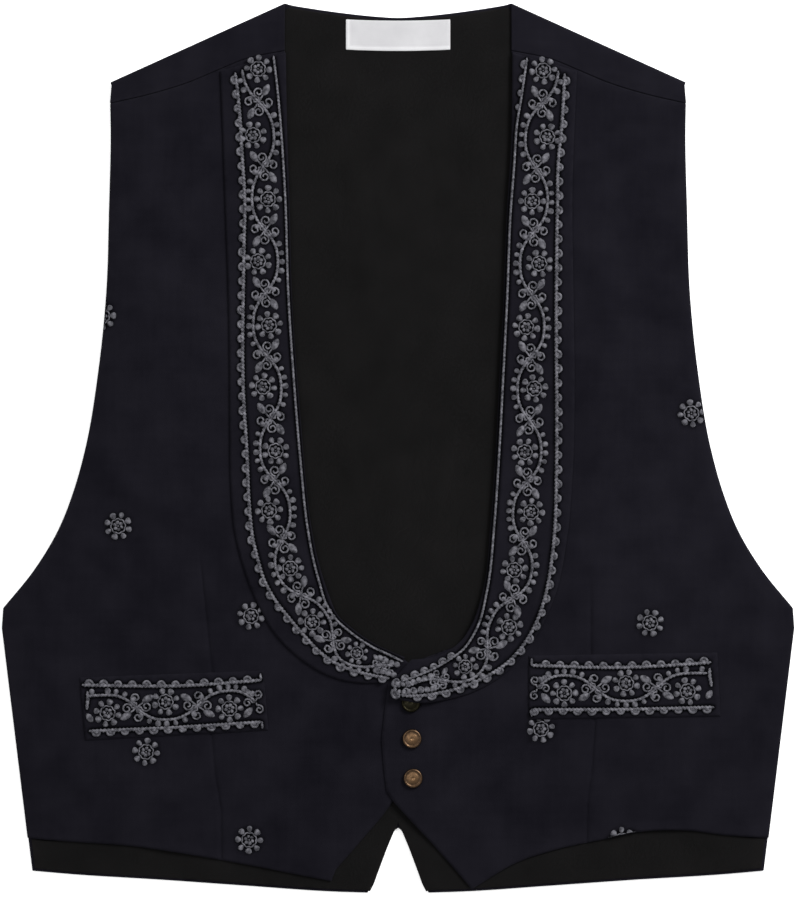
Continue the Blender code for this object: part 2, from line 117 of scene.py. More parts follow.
SHOULDER_SEAM = [(66.0, 231.0), (88.7, 226.2), (104.0, 220.0), (122.0, 212.5), (145.0, 205.5), (166.8, 200.5)]

# Fronts: hem from the point to the side seam, edge from the point up to the collar
HEM = {
    RIGHT: [(38.9, -250.6), (102.1, -238.4), (153.7, -230.3), (193.7, -227.4), SIDE_FRONT_HEM],
    LEFT: [
        (42.9, -255.2),
        (69.6, -239.5),
        (90.5, -232.6),
        (121.8, -225.9),
        (142.7, -221.6),
        (165.3, -221.0),
        (190.2, -223.9),
        SIDE_FRONT_HEM,
    ],
}
EDGE = {
    RIGHT: [
        (38.9, -250.6),
        (36.5, -244.2),
        (24.4, -230.3),
        (9.3, -212.9),
        (3.5, -204.7),
        (-8.0, -191.5),
        (-19.0, -177.0),
        (-19.7, -150.0),
        (-16.0, -134.0),
        (-8.5, -126.5),
    ],
    LEFT: [
        (42.9, -255.2),
        (32.5, -243.0),
        (19.7, -228.5),
        (5.2, -212.9),
        (-2.3, -204.7),
        (-6.4, -198.4),
        (-8.1, -185.0),
        (-9.3, -168.2),
        (-7.6, -152.0),
        (-5.5, -136.5),
    ],
}
EDGE_UNDER_COLLAR = 1.2

# Collars, from the crossing up to the shoulder
COLLAR_INNER = {
    RIGHT: [
        (-3.6, -121.0),
        (2.9, -118.3),
        (13.9, -113.1),
        (26.3, -104.6),
        (35.6, -96.0),
        (40.0, -85.5),
        (46.4, -65.5),
        (50.5, -45.8),
        (53.9, -18.0),
        (56.3, 11.0),
        (59.2, 46.4),
        (61.8, 87.0),
        (63.2, 138.6),
        (64.6, 185.0),
        (65.4, 229.5),
    ],
    LEFT: [
        (7.8, -122.4),
        (18.6, -121.2),
        (24.5, -119.6),
        (30.7, -116.4),
        (37.0, -111.0),
        (42.5, -102.7),
        (49.6, -81.8),
        (53.9, -44.7),
        (56.3, -12.2),
        (59.2, 41.8),
        (61.5, 87.0),
        (63.5, 138.6),
        (65.8, 175.0),
        (66.6, 229.5),
    ],
}
COLLAR_OUTER = {
    RIGHT: [
        (7.6, -135.2),
        (20.3, -135.6),
        (37.7, -132.2),
        (56.8, -121.2),
        (71.3, -106.7),
        (81.2, -89.3),
        (88.7, -70.2),
        (94.0, -49.9),
        (96.6, -23.8),
        (97.2, 11.0),
        (97.4, 46.4),
        (98.0, 87.0),
        (99.8, 138.6),
        (101.4, 185.0),
        (102.8, 219.0),
    ],
    LEFT: [
        (2.0, -145.2),
        (12.0, -146.8),
        (25.0, -145.6),
        (44.0, -140.4),
        (58.5, -132.5),
        (69.5, -122.8),
        (78.0, -111.5),
        (89.9, -87.6),
        (98.0, -50.0),
        (101.0, -14.0),
        (102.1, 35.0),
        (101.5, 87.0),
        (100.9, 150.0),
        (102.2, 190.0),
        (103.6, 219.0),
    ],
}
COLLAR_TIP = {
    RIGHT: [(-3.6, -121.0), (7.6, -135.2)],
    LEFT: [(7.8, -122.4), (1.5, -129.5), (-3.2, -135.6), (-3.3, -140.5), (2.0, -145.2)],
}

# Welts: corners at the front edge's side, lower and upper, then at the side seam's
WELT = {
    RIGHT: [(75.4, -163.0), (78.3, -128.8), (181.0, -168.8), (184.4, -132.8)],
    LEFT: [(76.0, -156.6), (76.0, -120.1), (186.8, -154.9), (185.0, -118.3)],
}

# Label
LABEL_HALF = 30.0
LABEL_HEIGHT = 17.0
LABEL_BELOW = 1.9
LABEL_DIP = 0.75
LABEL_FOLD = 1.5
LABEL_FOLD_RISE = 0.22

# Caps: places on the left front, profile as (radius, height) from the foot over the rim to the dimple
CAPS = {"button_top": (7.5, -147.0), "button_middle": (8.1, -167.9), "button_bottom": (8.7, -190.8)}
CAP = [
    (4.3, 0.0),
    (5.3, 0.4),
    (5.6, 1.1),
    (5.3, 1.8),
    (4.7, 2.05),
    (4.1, 1.8),
    (2.4, 2.1),
    (0.9, 2.25),
    (0.5, 2.1),
]
CAP_DIMPLE = 2.0
CAP_RUBBED = 5.3
CAP_RUBBED_FROM = 1.6
CAP_RUBBED_OVER = 0.3
CAP_WOBBLE = 0.006
CAP_SIDES = 64
CAP_STEPS = 5

# Soft folds of the fronts: side, top and bottom end, half width and height
FOLDS = [
    (LEFT, (120.0, 150.0), (118.0, -95.0), 20.0, 1.0),
    (LEFT, (150.0, -168.0), (154.0, -240.0), 24.0, 1.2),
    (RIGHT, (140.0, 170.0), (146.0, 30.0), 22.0, 0.8),
    (RIGHT, (128.0, -180.0), (132.0, -250.0), 24.0, 0.9),
]
FOLD_FADE = 35.0

# Faint ripples: height, size and seed of the random values
FRONT_RIPPLES = [(0.09, 23.0, 5), (0.05, 9.0, 9)]
LINING_RIPPLES = [(0.05, 17.0, 12)]
STRIP_RIPPLES = [(0.05, 8.0, 3)]
LABEL_RIPPLES = [(0.06, 9.0, 41)]
BAND_RIPPLES = [(0.07, 3.2, 21), (0.05, 7.5, 22)]

# Ranges over which creases come up from nothing: on the fronts beside and above their overlap and
# below the shoulder, on the lining inside the neck opening
CREASES_ACROSS = (16.0, 42.0)
CREASES_ABOVE = (-70.0, -40.0)
CREASES_BELOW = (214.0, 190.0)
LINING_CREASES_ACROSS = (50.0, 40.0)
LINING_CREASES_ABOVE = (-104.0, -84.0)
LINING_CREASES_BELOW = (222.0, 205.0)

# Smaller creases of the fronts: side, one end, other end, half width and height
CREASES = [
    (RIGHT, (184.0, -8.0), (118.0, -46.0), 10.0, 0.70),
    (RIGHT, (196.0, -40.0), (134.0, -92.0), 9.0, 0.60),
    (RIGHT, (162.0, 128.0), (112.0, 70.0), 13.0, 0.55),
    (RIGHT, (166.0, 178.0), (118.0, 150.0), 11.0, 0.50),
    (RIGHT, (96.0, -176.0), (78.0, -232.0), 8.0, 0.60),
    (RIGHT, (196.0, -176.0), (168.0, -220.0), 10.0, 0.70),
    (RIGHT, (100.0, -100.0), (92.0, -40.0), 8.0, 0.45),
    (RIGHT, (212.0, -112.0), (190.0, -160.0), 9.0, 0.55),
    (LEFT, (182.0, 0.0), (124.0, -40.0), 11.0, 0.65),
    (LEFT, (204.0, -56.0), (140.0, -98.0), 9.0, 0.65),
    (LEFT, (164.0, 150.0), (116.0, 96.0), 12.0, 0.50),
    (LEFT, (162.0, 190.0), (124.0, 168.0), 10.0, 0.45),
    (LEFT, (98.0, -168.0), (64.0, -212.0), 9.0, 0.60),
    (LEFT, (198.0, -168.0), (176.0, -212.0), 9.0, 0.60),
    (LEFT, (102.0, -112.0), (104.0, -52.0), 8.0, 0.50),
    (LEFT, (216.0, -108.0), (200.0, -150.0), 9.0, 0.50),
]

# Creases of the lining in the neck opening, with x across the whole vest: ends, half width and height
LINING_CREASES = [
    ((-30.0, 190.0), (-12.0, 60.0), 11.0, 0.55),
    ((22.0, 205.0), (34.0, 96.0), 10.0, 0.50),
    ((6.0, 92.0), (-22.0, -24.0), 12.0, 0.60),
    ((36.0, 52.0), (16.0, -70.0), 9.0, 0.50),
    ((-34.0, 18.0), (-14.0, -76.0), 9.0, 0.45),
    ((-2.0, 168.0), (14.0, 130.0), 8.0, 0.35),
]

# Darts of the fronts, from the tip down to the hem
DART = {
    RIGHT: [
        (116.0, -55.7),
        (107.9, -132.2),
        (108.5, -165.9),
        (106.7, -187.3),
        (103.2, -208.8),
        (102.7, -240.0),
    ],
    LEFT: [
        (111.9, -72.5),
        (111.9, -116.0),
        (114.3, -158.3),
        (112.5, -185.0),
        (110.2, -202.4),
        (109.4, -232.0),
    ],
}
DART_GROOVE = 0.75
DART_WIDTH = 0.95
DART_TUCK = 0.30
DART_TUCK_WIDTH = 7.0
DART_DIP = 0.55
DART_DIP_WIDTH = 5.0
DART_FADE = 26.0
DART_RIPPLE = (6.0, 31)

# Layers that climb over others
RISE_ACROSS = (20.0, 70.0)
RISE_BELOW = (-238.0, -207.0)
RISE_ABOVE = (-60.0, -118.0)
BUTTON_RISE = 2.5
BUTTON_RISE_ACROSS = (6.0, 24.0)
ROLL_FROM = 0.955
ROLL_END = 0.94
ROLL_WIDTH = 4.6

# Strip of the back from the shoulder fold to the seam: shares of its width, and the swell before the seam
STRIP_SHARES = np.concatenate([np.linspace(0.08, 0.85, 10), [0.92, 0.96, 0.985, 1.0]])
STRIP_SWELL = 0.22
STRIP_SWELL_AT = 5.0
STRIP_SWELL_HALF = 3.0

# How a cut edge is turned in: reach and depth of its rounding
TURN_REACH = 1.5
TURN_DEPTH = 0.55
SEAM_TURN = 0.28
SOFT_TURN = 1.6
FACING_DEPTH = 0.10
FACING_AT = 6.0
FACING_WIDTH = 0.9
THINNEST = 0.45
EDGE_WEAR = 1.6
NO_EDGE = 1e3
FOLD_FAR = 9.0
FINE_STEPS = np.array([0.0, 0.35, 0.8, 1.4, 2.2])

# Grids of points: how many in the middle, and the length of cloth that they are spread over
BACK_SHOULDER = (20, 108.0)
BACK_UP = (130, 480.0)
LINING_UP = (190, 480.0)
FRONT_UP = (235, 440.0)
FRONT_TO_DART = (30, 62.0)
FRONT_PAST_DART = (42, 84.0)
COLLAR_ACROSS = (40, 36.0)
COLLAR_ALONG = (430, 400.0)
WELT_ACROSS = (42, 35.0)
WELT_ALONG = (130, 106.0)
LABEL_ACROSS = (60, 2 * LABEL_HALF)
LABEL_DOWN = (24, LABEL_HEIGHT)

# Thread lines of the collars, from the shoulder to the crossing
THREAD_INNER = {
    RIGHT: [
        (72.2, 227.9),
        (69.6, 205.3),
        (67.3, 177.5),
        (65.5, 147.3),
        (63.5, 87.0),
        (60.9, 46.4),
        (56.3, -9.9),
        (52.8, -43.5),
        (49.3, -63.2),
        (45.6, -77.5),
        (41.8, -89.5),
        (36.6, -98.0),
        (27.8, -106.1),
        (15.7, -114.3),
        (3.5, -120.1),
        (-3.0, -123.3),
    ],
    LEFT: [
        (74.8, 226.8),
        (71.3, 203.0),
        (69.0, 189.1),
        (67.3, 164.7),
        (65.3, 138.6),
        (63.2, 87.0),
        (60.9, 41.8),
        (58.0, -12.2),
        (55.7, -44.7),
        (51.6, -81.8),
        (45.6, -104.0),
        (37.3, -116.5),
        (30.0, -121.8),
        (20.0, -127.6),
        (10.0, -131.6),
        (1.5, -134.6),
    ],
}
THREAD_OUTER = {
    RIGHT: [
        (94.5, 218.1),
        (93.4, 210.0),
        (91.6, 190.8),
        (90.5, 171.7),
        (88.9, 145.0),
        (89.3, 118.3),
        (89.5, 28.4),
        (87.6, -2.3),
        (86.1, -34.8),
        (84.2, -52.0),
        (81.2, -64.5),
        (77.4, -76.5),
        (72.3, -86.0),
        (63.2, -98.0),
        (53.9, -108.8),
        (46.6, -116.6),
        (37.4, -123.5),
        (27.8, -127.8),
        (14.0, -131.4),
        (5.0, -133.0),
    ],
    LEFT: [
        (96.6, 217.5),
        (95.1, 190.2),
        (93.0, 168.2),
        (92.2, 132.2),
        (91.7, 87.0),
        (91.8, -12.2),
        (91.1, -41.8),
        (89.3, -62.6),
        (85.3, -85.3),
        (80.0, -100.9),
        (74.2, -111.4),
        (63.8, -123.5),
        (50.5, -132.2),
        (37.1, -138.0),
        (19.7, -142.0),
        (9.6, -142.9),
        (1.3, -142.4),
    ],
}
THREAD_TIP = [(1.5, -134.6), (-1.1, -136.4), (-1.8, -138.9), (-0.9, -141.2), (1.3, -142.4)]

# Thread lines of the welts, from the side seam's end to the front edge's
WELT_THREAD_TOP = {
    RIGHT: [(183.3, -136.9), (155.0, -137.4), (125.3, -137.3), (100.0, -135.7), (79.5, -134.0)],
    LEFT: [(181.5, -123.7), (155.0, -125.6), (132.0, -126.6), (105.0, -126.4), (77.4, -125.4)],
}
WELT_THREAD_LOW = {
    RIGHT: [(179.2, -163.6), (130.0, -161.5), (78.9, -158.3)],
    LEFT: [(183.3, -149.8), (130.0, -151.0), (77.4, -151.2)],
}

# Flowers of the collars, from the shoulder to the crossing
COLLAR_FLOWERS = {
    RIGHT: [
        (81.2, 220.4),
        (84.1, 182.1),
        (75.4, 145.0),
        (81.2, 108.7),
        (74.8, 71.6),
        (78.3, 36.0),
        (71.0, -0.9),
        (74.8, -35.7),
        (62.6, -69.0),
        (49.9, -100.3),
        (23.8, -118.3),
    ],
    LEFT: [
        (84.1, 219.2),
        (86.4, 181.0),
        (77.7, 143.8),
        (81.8, 107.3),
        (74.2, 70.5),
        (78.9, 34.8),
        (73.4, -1.7),
        (77.1, -36.5),
        (67.3, -70.2),
        (64.4, -103.2),
        (38.9, -126.2),
    ],
}

# Flowers of the welts: runs from the side seam's end, and how far off the middle
WELT_RUNS = {RIGHT: (12.8, 46.6, 83.3), LEFT: (14.8, 50.2, 86.1)}
WELT_FLOWER_OFF = 3.0
WELT_PHASES = (-0.17, 2.5)
WELT_PITCHES = (70.0, 30.8)

# Ends of the welts in (run, off): curls, leaf and bud at the front edge's, a thick stitch at the side seam's
WELT_CURLS_BACK = 3.4
WELT_CURLS = [(-1.25, 1.0), (1.2, -1.0), (3.1, 1.0)]
WELT_CURL_SIZE = 0.85
WELT_LEAF = (-4.9, 5.8)
WELT_BUD = (-4.0, -6.1)
WELT_END_STITCH = np.stack(
    [1.2 + 0.3 * np.sin(np.linspace(0.0, 5.0, 24)), np.linspace(-9.8, 1.0, 24)],
    axis=1,
)
WELT_SEAM_LEAF = (2.4, 5.6)
WELT_END_TURN = 4.0

# Border on the bands: vine, buds, curls, leaves and scallops
VINE_SWING = 7.4
VINE_SHARPER = 0.07
VINE_ROOM = 4.2
VINE_GAIN = 1.35
VINE_LEAST = 0.6
VINE_START = -0.02
VINE_END = {RIGHT: 10.72, LEFT: 11.1}
PHASE_STEPS = 400
SLOPE_STEP = 0.02
BUDS_CLEAR = 0.04
CROSSINGS_CLEAR = 0.1
BUDS = 7
BUD_FIRST = -0.39
BUD_STEP = 0.132
BUD_OFF = 2.15
BUD_LENGTH = 3.9
BUD_WIDTH = 3.2
BUD_TAPER = 0.2
BUD_UNEVEN = 0.12
CURL_OFF = 5.6
CURL_RADIUS = 3.05
CURL_END = 0.8
CURL_TURNS = 1.3
LEAF_OFF = 8.1
LEAF_LENGTH = 7.6
LEAF_WIDTH = 4.3
LEAF_ANGLE = math.radians(38)
LEAF_LEAN = math.radians(30)
LEAF_POINT = 0.4
SCALLOP_STEP = 8.35
SCALLOP_HALF = 2.1
SCALLOP_TALL = 2.35
SCALLOP_THREAD = 1.5
SCALLOP_BASE = 0.3
SCALLOP_BEAD = 1.3
SCALLOP_SWELL = 0.06
SCALLOP_UNEVEN = 0.07
SCALLOPS_CLEAR = 1.5
FILLING = 0.3
FILLING_LENGTH = 2.9
FILLING_WIDTH = 2.2
LOW_FILLING = 0.9
FULL_ROOM = 10.6
SMALLEST = 0.55

# Seeds and rings towards the tips, as runs back from them, and the closer scallops there.
# SEED_WIDTH is a share of half the band.
SEEDS_FROM_TIP = {
    RIGHT: np.array([0.6, 3.9, 7.4, 11.0]),
    LEFT: np.array([-1.3, 1.6, 4.6, 7.9, 11.3, 14.8, 18.6]),
}
SEED_LENGTH = 3.5
SEED_WIDTH = 0.62
RINGS_FROM_TIP = {RIGHT: np.array([2.6, 6.8]), LEFT: np.array([3.0, 7.2, 11.4, 20.5])}
LACE_RING = 1.45
TIP_SCALLOP_STEP = 6.0
TIP_SCALLOPS_UNTIL = 40.0
INNER_SCALLOPS_UNTIL = 36.0
INNER_SCALLOP_SIZE = (1.0, 0.7)

# Threads and stitches: a dome's rings and their rises, a cord's section, and how deep their feet sink
THREAD = 0.38
BEAD = 2.2
FOOT = 0.35
SKIRT = 0.3 * FOOT
DOME_RING = np.array([0.5, 0.86, 1.0])
DOME_RISE = np.array([0.9, 0.5, 0.0])
DOME_SIDES = 10
CORD_SECTION = np.array([-0.5, -0.37, 0.0, 0.37, 0.5, 0.0])
CORD_RISE = np.array([0.0, 0.76, 1.0, 0.76, 0.0, 0.0])
CORD_SLANT = 2.2
CORD_END = 0.12
LINE_WIDTH = 1.85
LINE_SWELL = 0.24
INNER_WIDTH = 1.3
VINE_WIDTH = 1.6
CURL_WIDTH = 1.05
CORD_HEIGHT = 0.8
SATIN_HEIGHT = 0.95

# Rosette: ring of knots, loop, and petals that hang on it
KNOTS = 6
KNOTS_AT = 2.0
KNOT = 1.95
LOOP_RADIUS = 4.15
LOOP_WAVE = 0.35
LOOP_WIDTH = 0.8
PETALS = 8
PETAL_AT = 6.3
PETAL_LENGTH = 3.9
PETAL_WIDTH = 3.45
PETAL_SWAY = 0.14
PETAL_TAPER = 0.36

# Loose rosettes on the fronts
ROSETTES = {
    RIGHT: [(162.4, -44.7), (85.3, -96.9), (146.2, -175.7), (86.4, -226.8), (171.7, 77.1)],
    LEFT: [(146.2, -100.9), (82.9, -162.4), (170.2, 20.6), (129.9, -227.4)],
}

# How far the stitches of the fronts stay from other edges, and how far a welt covers them
ARMHOLE_CLEAR = 0.45
COLLAR_CLEAR = 0.4
HEM_CLEAR = 0.5
WELT_CLEAR = 0.6
WELT_COVERS = 12.0
WELT_BESIDE = 1.0

# Painted shade on the cloth between close stitches: its colour, how soon it is reached, and how deep the
# cloth sinks
SHADED = (0.0006, 0.0006, 0.0010)
SHADE_GAIN = 8.5
SHADE_SINK = 0.2

# Table, lights and camera, in metres and watts
TABLE_GLOW = 0.45
FLOOR_HALF = 6.0
FLOOR_LEVEL = -0.0006
LIGHTS = {"key": ((1.05, 0.95, 1.25), 0.7, 44.0), "fill": ((-0.9, 0.2, 1.9), 1.4, 14.0)}
ROOM_LIGHT = 0.5
VIEW_HEIGHT = 0.522
VIEW_CENTRE = (0.0020, -0.0006)
VIEW_LEVEL = 0.005
CAMERA_AWAY = 2.4
CAMERA_REACH = 50.0
SENSOR = 36.0


def step_up(value, start, end):
    """Smooth step 3t^2 - 2t^3, from 0 at start to 1 at end, which may lie either way round."""
    t = np.clip((value - start) / (end - start), 0.0, 1.0)
    return t * t * (3.0 - 2.0 * t)


def smooth(points, per=12):
    """Cubic on each leg through the points, with slopes weighted by the legs' lengths."""
    p = np.array(points, float)
    leg = np.linalg.norm(np.diff(p, axis=0), axis=1)[:, None]
    way = np.diff(p, axis=0) / leg
    slope = np.vstack([way[:1], (way[:-1] * leg[1:] + way[1:] * leg[:-1]) / (leg[1:] + leg[:-1]), way[-1:]])
    t = np.linspace(0.0, 1.0, per, endpoint=False)[None, :, None]
    a, b = p[:-1, None], p[1:, None]
    m, n = (slope[:-1] * leg)[:, None], (slope[1:] * leg)[:, None]
    ends = a * (2 * t**3 - 3 * t**2 + 1) + b * (3 * t**2 - 2 * t**3)
    cubic = ends + m * (t**3 - 2 * t**2 + t) + n * (t**3 - t**2)
    return np.vstack([cubic.reshape(-1, 2), p[-1:]])


def joined(*lines):
    """Lines set end to end."""
    return np.vstack([np.array(line, float) for line in lines])


def runs(line):
    """Length of the line up to each of its points."""
    return np.concatenate([[0.0], np.cumsum(np.linalg.norm(np.diff(line, axis=0), axis=1))])


def at_shares(line, shares):
    """Points at the given shares of the line's length, in an array shaped as the shares are."""
    run = runs(line)
    return np.stack([np.interp(shares, run / run[-1], line[:, k]) for k in range(2)], axis=-1)


def with_corners(line, shares, corners):
    """Points at the shares, with the nearest share moved to each corner."""
    shares = np.array(shares, float)
    run = runs(line)
    for corner in corners:
        place = run[np.linalg.norm(line - np.array(corner), axis=1).argmin()] / run[-1]
        shares[np.abs(shares - place).argmin()] = place
    return at_shares(line, shares)


def even(line, step):
    """The line with points an even step apart."""
    return at_shares(line, np.linspace(0.0, 1.0, max(2, int(round(runs(line)[-1] / step)) + 1)))


def shifted(line, by):
    """The line moved sideways, to the right of its own direction."""
    way = np.gradient(line, axis=0)
    way /= np.linalg.norm(way, axis=1)[:, None]
    return line + by * np.stack([way[:, 1], -way[:, 0]], axis=1)


def beside(line, run, off):
    """Points at a run along the line and off to its left: the line's point plus off times its normal.

    Past the ends the line goes on straight."""
    way = np.gradient(line, axis=0)
    way /= np.linalg.norm(way, axis=1)[:, None]
    at = runs(line)
    x, y = (np.interp(run, at, line[:, k]) for k in range(2))
    dx, dy = (np.interp(run, at, way[:, k]) for k in range(2))
    past = run - np.clip(run, 0.0, at[-1])
    return np.stack([x + past * dx - off * dy, y + past * dy + off * dx], axis=-1)


def along(line, points):
    """Run and off of each point beside a line, at the line's nearest place."""
    line = even(line, 0.5)
    points = np.asarray(points, float)
    nearest = np.linalg.norm(points[:, None] - line[None], axis=2).argmin(axis=1)
    way = np.gradient(line, axis=0)
    way = (way / np.linalg.norm(way, axis=1)[:, None])[nearest]
    gap = points - line[nearest]
    return runs(line)[nearest], way[:, 0] * gap[:, 1] - way[:, 1] * gap[:, 0]


def edged(count, length):
    """Shares from 0 to 1, even in the middle and close together near both ends of the length."""
    fine = FINE_STEPS / length
    middle = np.linspace(fine[-1], 1.0 - fine[-1], count)
    return np.concatenate([fine[:-1], middle, 1.0 - fine[:-1][::-1]])


def patch(left, right, bottom, top, u, v):
    """Coons patch: the two ways of spanning the outline, added, less the blend of its corners.

    left and right hold points at the shares v, bottom and top are lines, u has shares for each row."""
    u = np.broadcast_to(u, (len(v), np.shape(u)[-1]))
    low, high = at_shares(bottom, u), at_shares(top, u)
    u, v = u[..., None], np.array(v)[:, None, None]
    across = (1 - u) * left[:, None] + u * right[:, None]
    upward = (1 - v) * low + v * high
    corners = (1 - v) * ((1 - u) * bottom[0] + u * bottom[-1]) + v * ((1 - u) * top[0] + u * top[-1])
    return across + upward - corners


def quads_between(index):
    """Quads of a grid of point numbers, anticlockwise where columns run right and rows run up."""
    return np.stack([index[:-1, :-1], index[:-1, 1:], index[1:, 1:], index[1:, :-1]], axis=-1).reshape(-1, 4)


def grid_faces(rows, columns):
    """Quads of a grid whose points are numbered row by row."""
    return quads_between(np.arange(rows * columns).reshape(rows, columns))


def placed(plan, height, side):
    """Points in space from a plan and the height at each of its points."""
    return np.stack([side * plan[..., 0], plan[..., 1], height + 0.0 * plan[..., 0]], axis=-1).reshape(-1, 3)


def turned(faces, side):
    """Faces for the named side, which keep facing out when mirrored."""
    return faces if side == LEFT else faces[:, ::-1]


def ripple(x, y, size, seed):
    """Soft random surface from -1 to 1: random values on a square grid, blended by smooth steps."""
    cells = 64
    table = np.random.default_rng(seed).uniform(-1.0, 1.0, (cells, cells))
    gx, gy = x / size, y / size
    ix, iy = np.floor(gx).astype(int), np.floor(gy).astype(int)
    fx, fy = step_up(gx - ix, 0.0, 1.0), step_up(gy - iy, 0.0, 1.0)
    left, right = ix % cells, (ix + 1) % cells
    low, high = iy % cells, (iy + 1) % cells
    a = table[left, low] * (1 - fx) + table[right, low] * fx
    b = table[left, high] * (1 - fx) + table[right, high] * fx
    return a * (1 - fy) + b * fy


def ripples(table, x, y, base=0.0, seed_shift=0):
    """Sum of the table's ripples, each raised by base before it is scaled to its height."""
    return sum(height * (base + ripple(x, y, size, seed + seed_shift)) for height, size, seed in table)


def ridge(x, y, start, end, half, height):
    """Rounded crease: a raised cosine across the line from start to end, fading to its two ends."""
    a, b = np.array(start, float), np.array(end, float)
    way = b - a
    t = np.clip(((x - a[0]) * way[0] + (y - a[1]) * way[1]) / (way @ way), 0.0, 1.0)
    far = np.hypot(x - a[0] - t * way[0], y - a[1] - t * way[1])
    return height * 4.0 * t * (1.0 - t) * (0.5 + 0.5 * np.cos(math.pi * np.clip(far / half, 0.0, 1.0)))


def fold_height(side, plan):
    """Soft folds: a raised cosine across each, fading at its two ends."""
    out, up = plan[..., 0], plan[..., 1]
    total = 0.0 * out
    for fold_side, top, bottom, half, height in FOLDS:
        if fold_side != side:
            continue
        down = np.clip((top[1] - up) / (top[1] - bottom[1]), 0.0, 1.0)
        middle = top[0] + (bottom[0] - top[0]) * down
        across = np.clip(np.abs(out - middle) / half, 0.0, 1.0)
        ends = step_up(up, top[1], top[1] - FOLD_FADE) * step_up(up, bottom[1] - FOLD_FADE, bottom[1])
        total = total + height * ends * (0.5 + 0.5 * np.cos(math.pi * across))
    return total


def crease_height(side, plan):
    """Creases and a faint ripple, left out where one front lies on the other."""
    out, up = plan[..., 0], plan[..., 1]
    total = ripples(FRONT_RIPPLES, out, up, base=1.0, seed_shift=side)
    for crease_side, start, end, half, height in CREASES:
        if crease_side == side:
            total = total + ridge(out, up, start, end, half, height)
    clear = np.maximum(step_up(out, *CREASES_ACROSS), step_up(up, *CREASES_ABOVE))
    return total * clear * step_up(up, *CREASES_BELOW)


def overlap_height(side, plan):
    """Rise of the left front where the right one lies under it."""
    if side == RIGHT:
        return 0.0 * plan[..., 0]
    across = 1.0 - step_up(plan[..., 0], *RISE_ACROSS)
    return OVERLAP_RISE * across * step_up(plan[..., 1], *RISE_BELOW) * step_up(plan[..., 1], *RISE_ABOVE)


def front_underside(side, plan):
    """Inner face of a front, without the roll at its outer edge."""
    return FRONT_LEVEL + fold_height(side, plan) + overlap_height(side, plan) + crease_height(side, plan)


def front_face(side, plan):
    """Outer face of a front."""
    return front_underside(side, plan) + FRONT


def dart_out(side, up):
    """Distance of the dart from the middle line at a height, going on straight past its ends."""
    line = np.array(DART[side], float)[::-1]
    return np.interp(up, line[:, 1], line[:, 0])


def dart_depth(side, plan):
    """Seam of the dart: a narrow groove, a wide dip and the tucked cloth's low step on one side."""
    off = plan[..., 0] - dart_out(side, plan[..., 1])
    tip = DART[side][0][1]
    shown = step_up(plan[..., 1], tip, tip - DART_FADE)
    groove = DART_GROOVE * np.exp(-((off / DART_WIDTH) ** 2))
    dip = DART_DIP * np.exp(-((off / DART_DIP_WIDTH) ** 2))
    tuck = DART_TUCK * np.where(off > 0.0, np.exp(-off / DART_TUCK_WIDTH), 0.0)
    uneven = 0.5 + 0.5 * ripple(plan[..., 1], 0.0 * off, *DART_RIPPLE)
    return shown * (groove + dip * uneven - tuck)


def edge_distance(plan, inner=None):
    """Distance of each grid point from the nearest of the four sides, along the grid's own lines.

    inner tells for each row whether its first point is on an edge."""
    first = np.linalg.norm(plan - plan[:, :1], axis=-1)
    if inner is not None:
        first = np.where(inner[:, None], first, NO_EDGE)
    last = np.linalg.norm(plan - plan[:, -1:], axis=-1)
    low = np.linalg.norm(plan - plan[:1], axis=-1)
    high = np.linalg.norm(plan - plan[-1:], axis=-1)
    return np.minimum(np.minimum(first, last), np.minimum(low, high))


def turn_depth(far):
    """Drop of a turned-in edge at a distance from it: a quarter circle, flattened to its depth."""
    left = 1.0 - np.clip(far / TURN_REACH, 0.0, 1.0)
    return TURN_DEPTH * (1.0 - np.sqrt(1.0 - left**2))


def welded(low, high, far, faces):
    """One sheet from several whose points meet on the middle line."""
    _, first, back = np.unique(np.round(low, 3), axis=0, return_index=True, return_inverse=True)
    return low[first], high[first], far[first], back.reshape(-1)[faces]


def wall(low, high, faces):
    """Closed wall between two sheets with the same faces: a half round carried along every free edge."""
    count = len(low)
    ends = np.stack([faces, np.roll(faces, -1, axis=1)], axis=-1).reshape(-1, 2)
    free = ends[~np.isin(ends[:, 0] * count + ends[:, 1], ends[:, 1] * count + ends[:, 0])]
    up = high - low
    up /= np.linalg.norm(up, axis=1)[:, None]
    outward = np.zeros_like(low)
    for end in (0, 1):
        way = np.cross(low[free[:, 1]] - low[free[:, 0]], up[free[:, end]])
        np.add.at(outward, free[:, end], way / np.linalg.norm(way, axis=1)[:, None])
    rim = np.unique(free)
    outward = outward[rim] / np.linalg.norm(outward[rim], axis=1)[:, None]
    middle, half = (low[rim] + high[rim]) / 2, (high[rim] - low[rim]) / 2
    rank = np.zeros(count, int)
    rank[rim] = np.arange(len(rim))
    points, quads = [low, high], [faces[:, ::-1], faces + count]
    rings = [np.arange(count)]
    for k, angle in enumerate(np.radians([135.0, 90.0, 45.0])):
        points.append(middle + EDGE_ROUND * math.sin(angle) * outward + half * math.cos(angle))
        rings.append(2 * count + k * len(rim) + rank)
    rings.append(np.arange(count) + count)
    first, last = free[:, 0], free[:, 1]
    for under, over in zip(rings[:-1], rings[1:]):
        quads.append(np.stack([under[first], under[last], over[last], over[first]], axis=1))
    return np.vstack(points), np.vstack(quads), rim


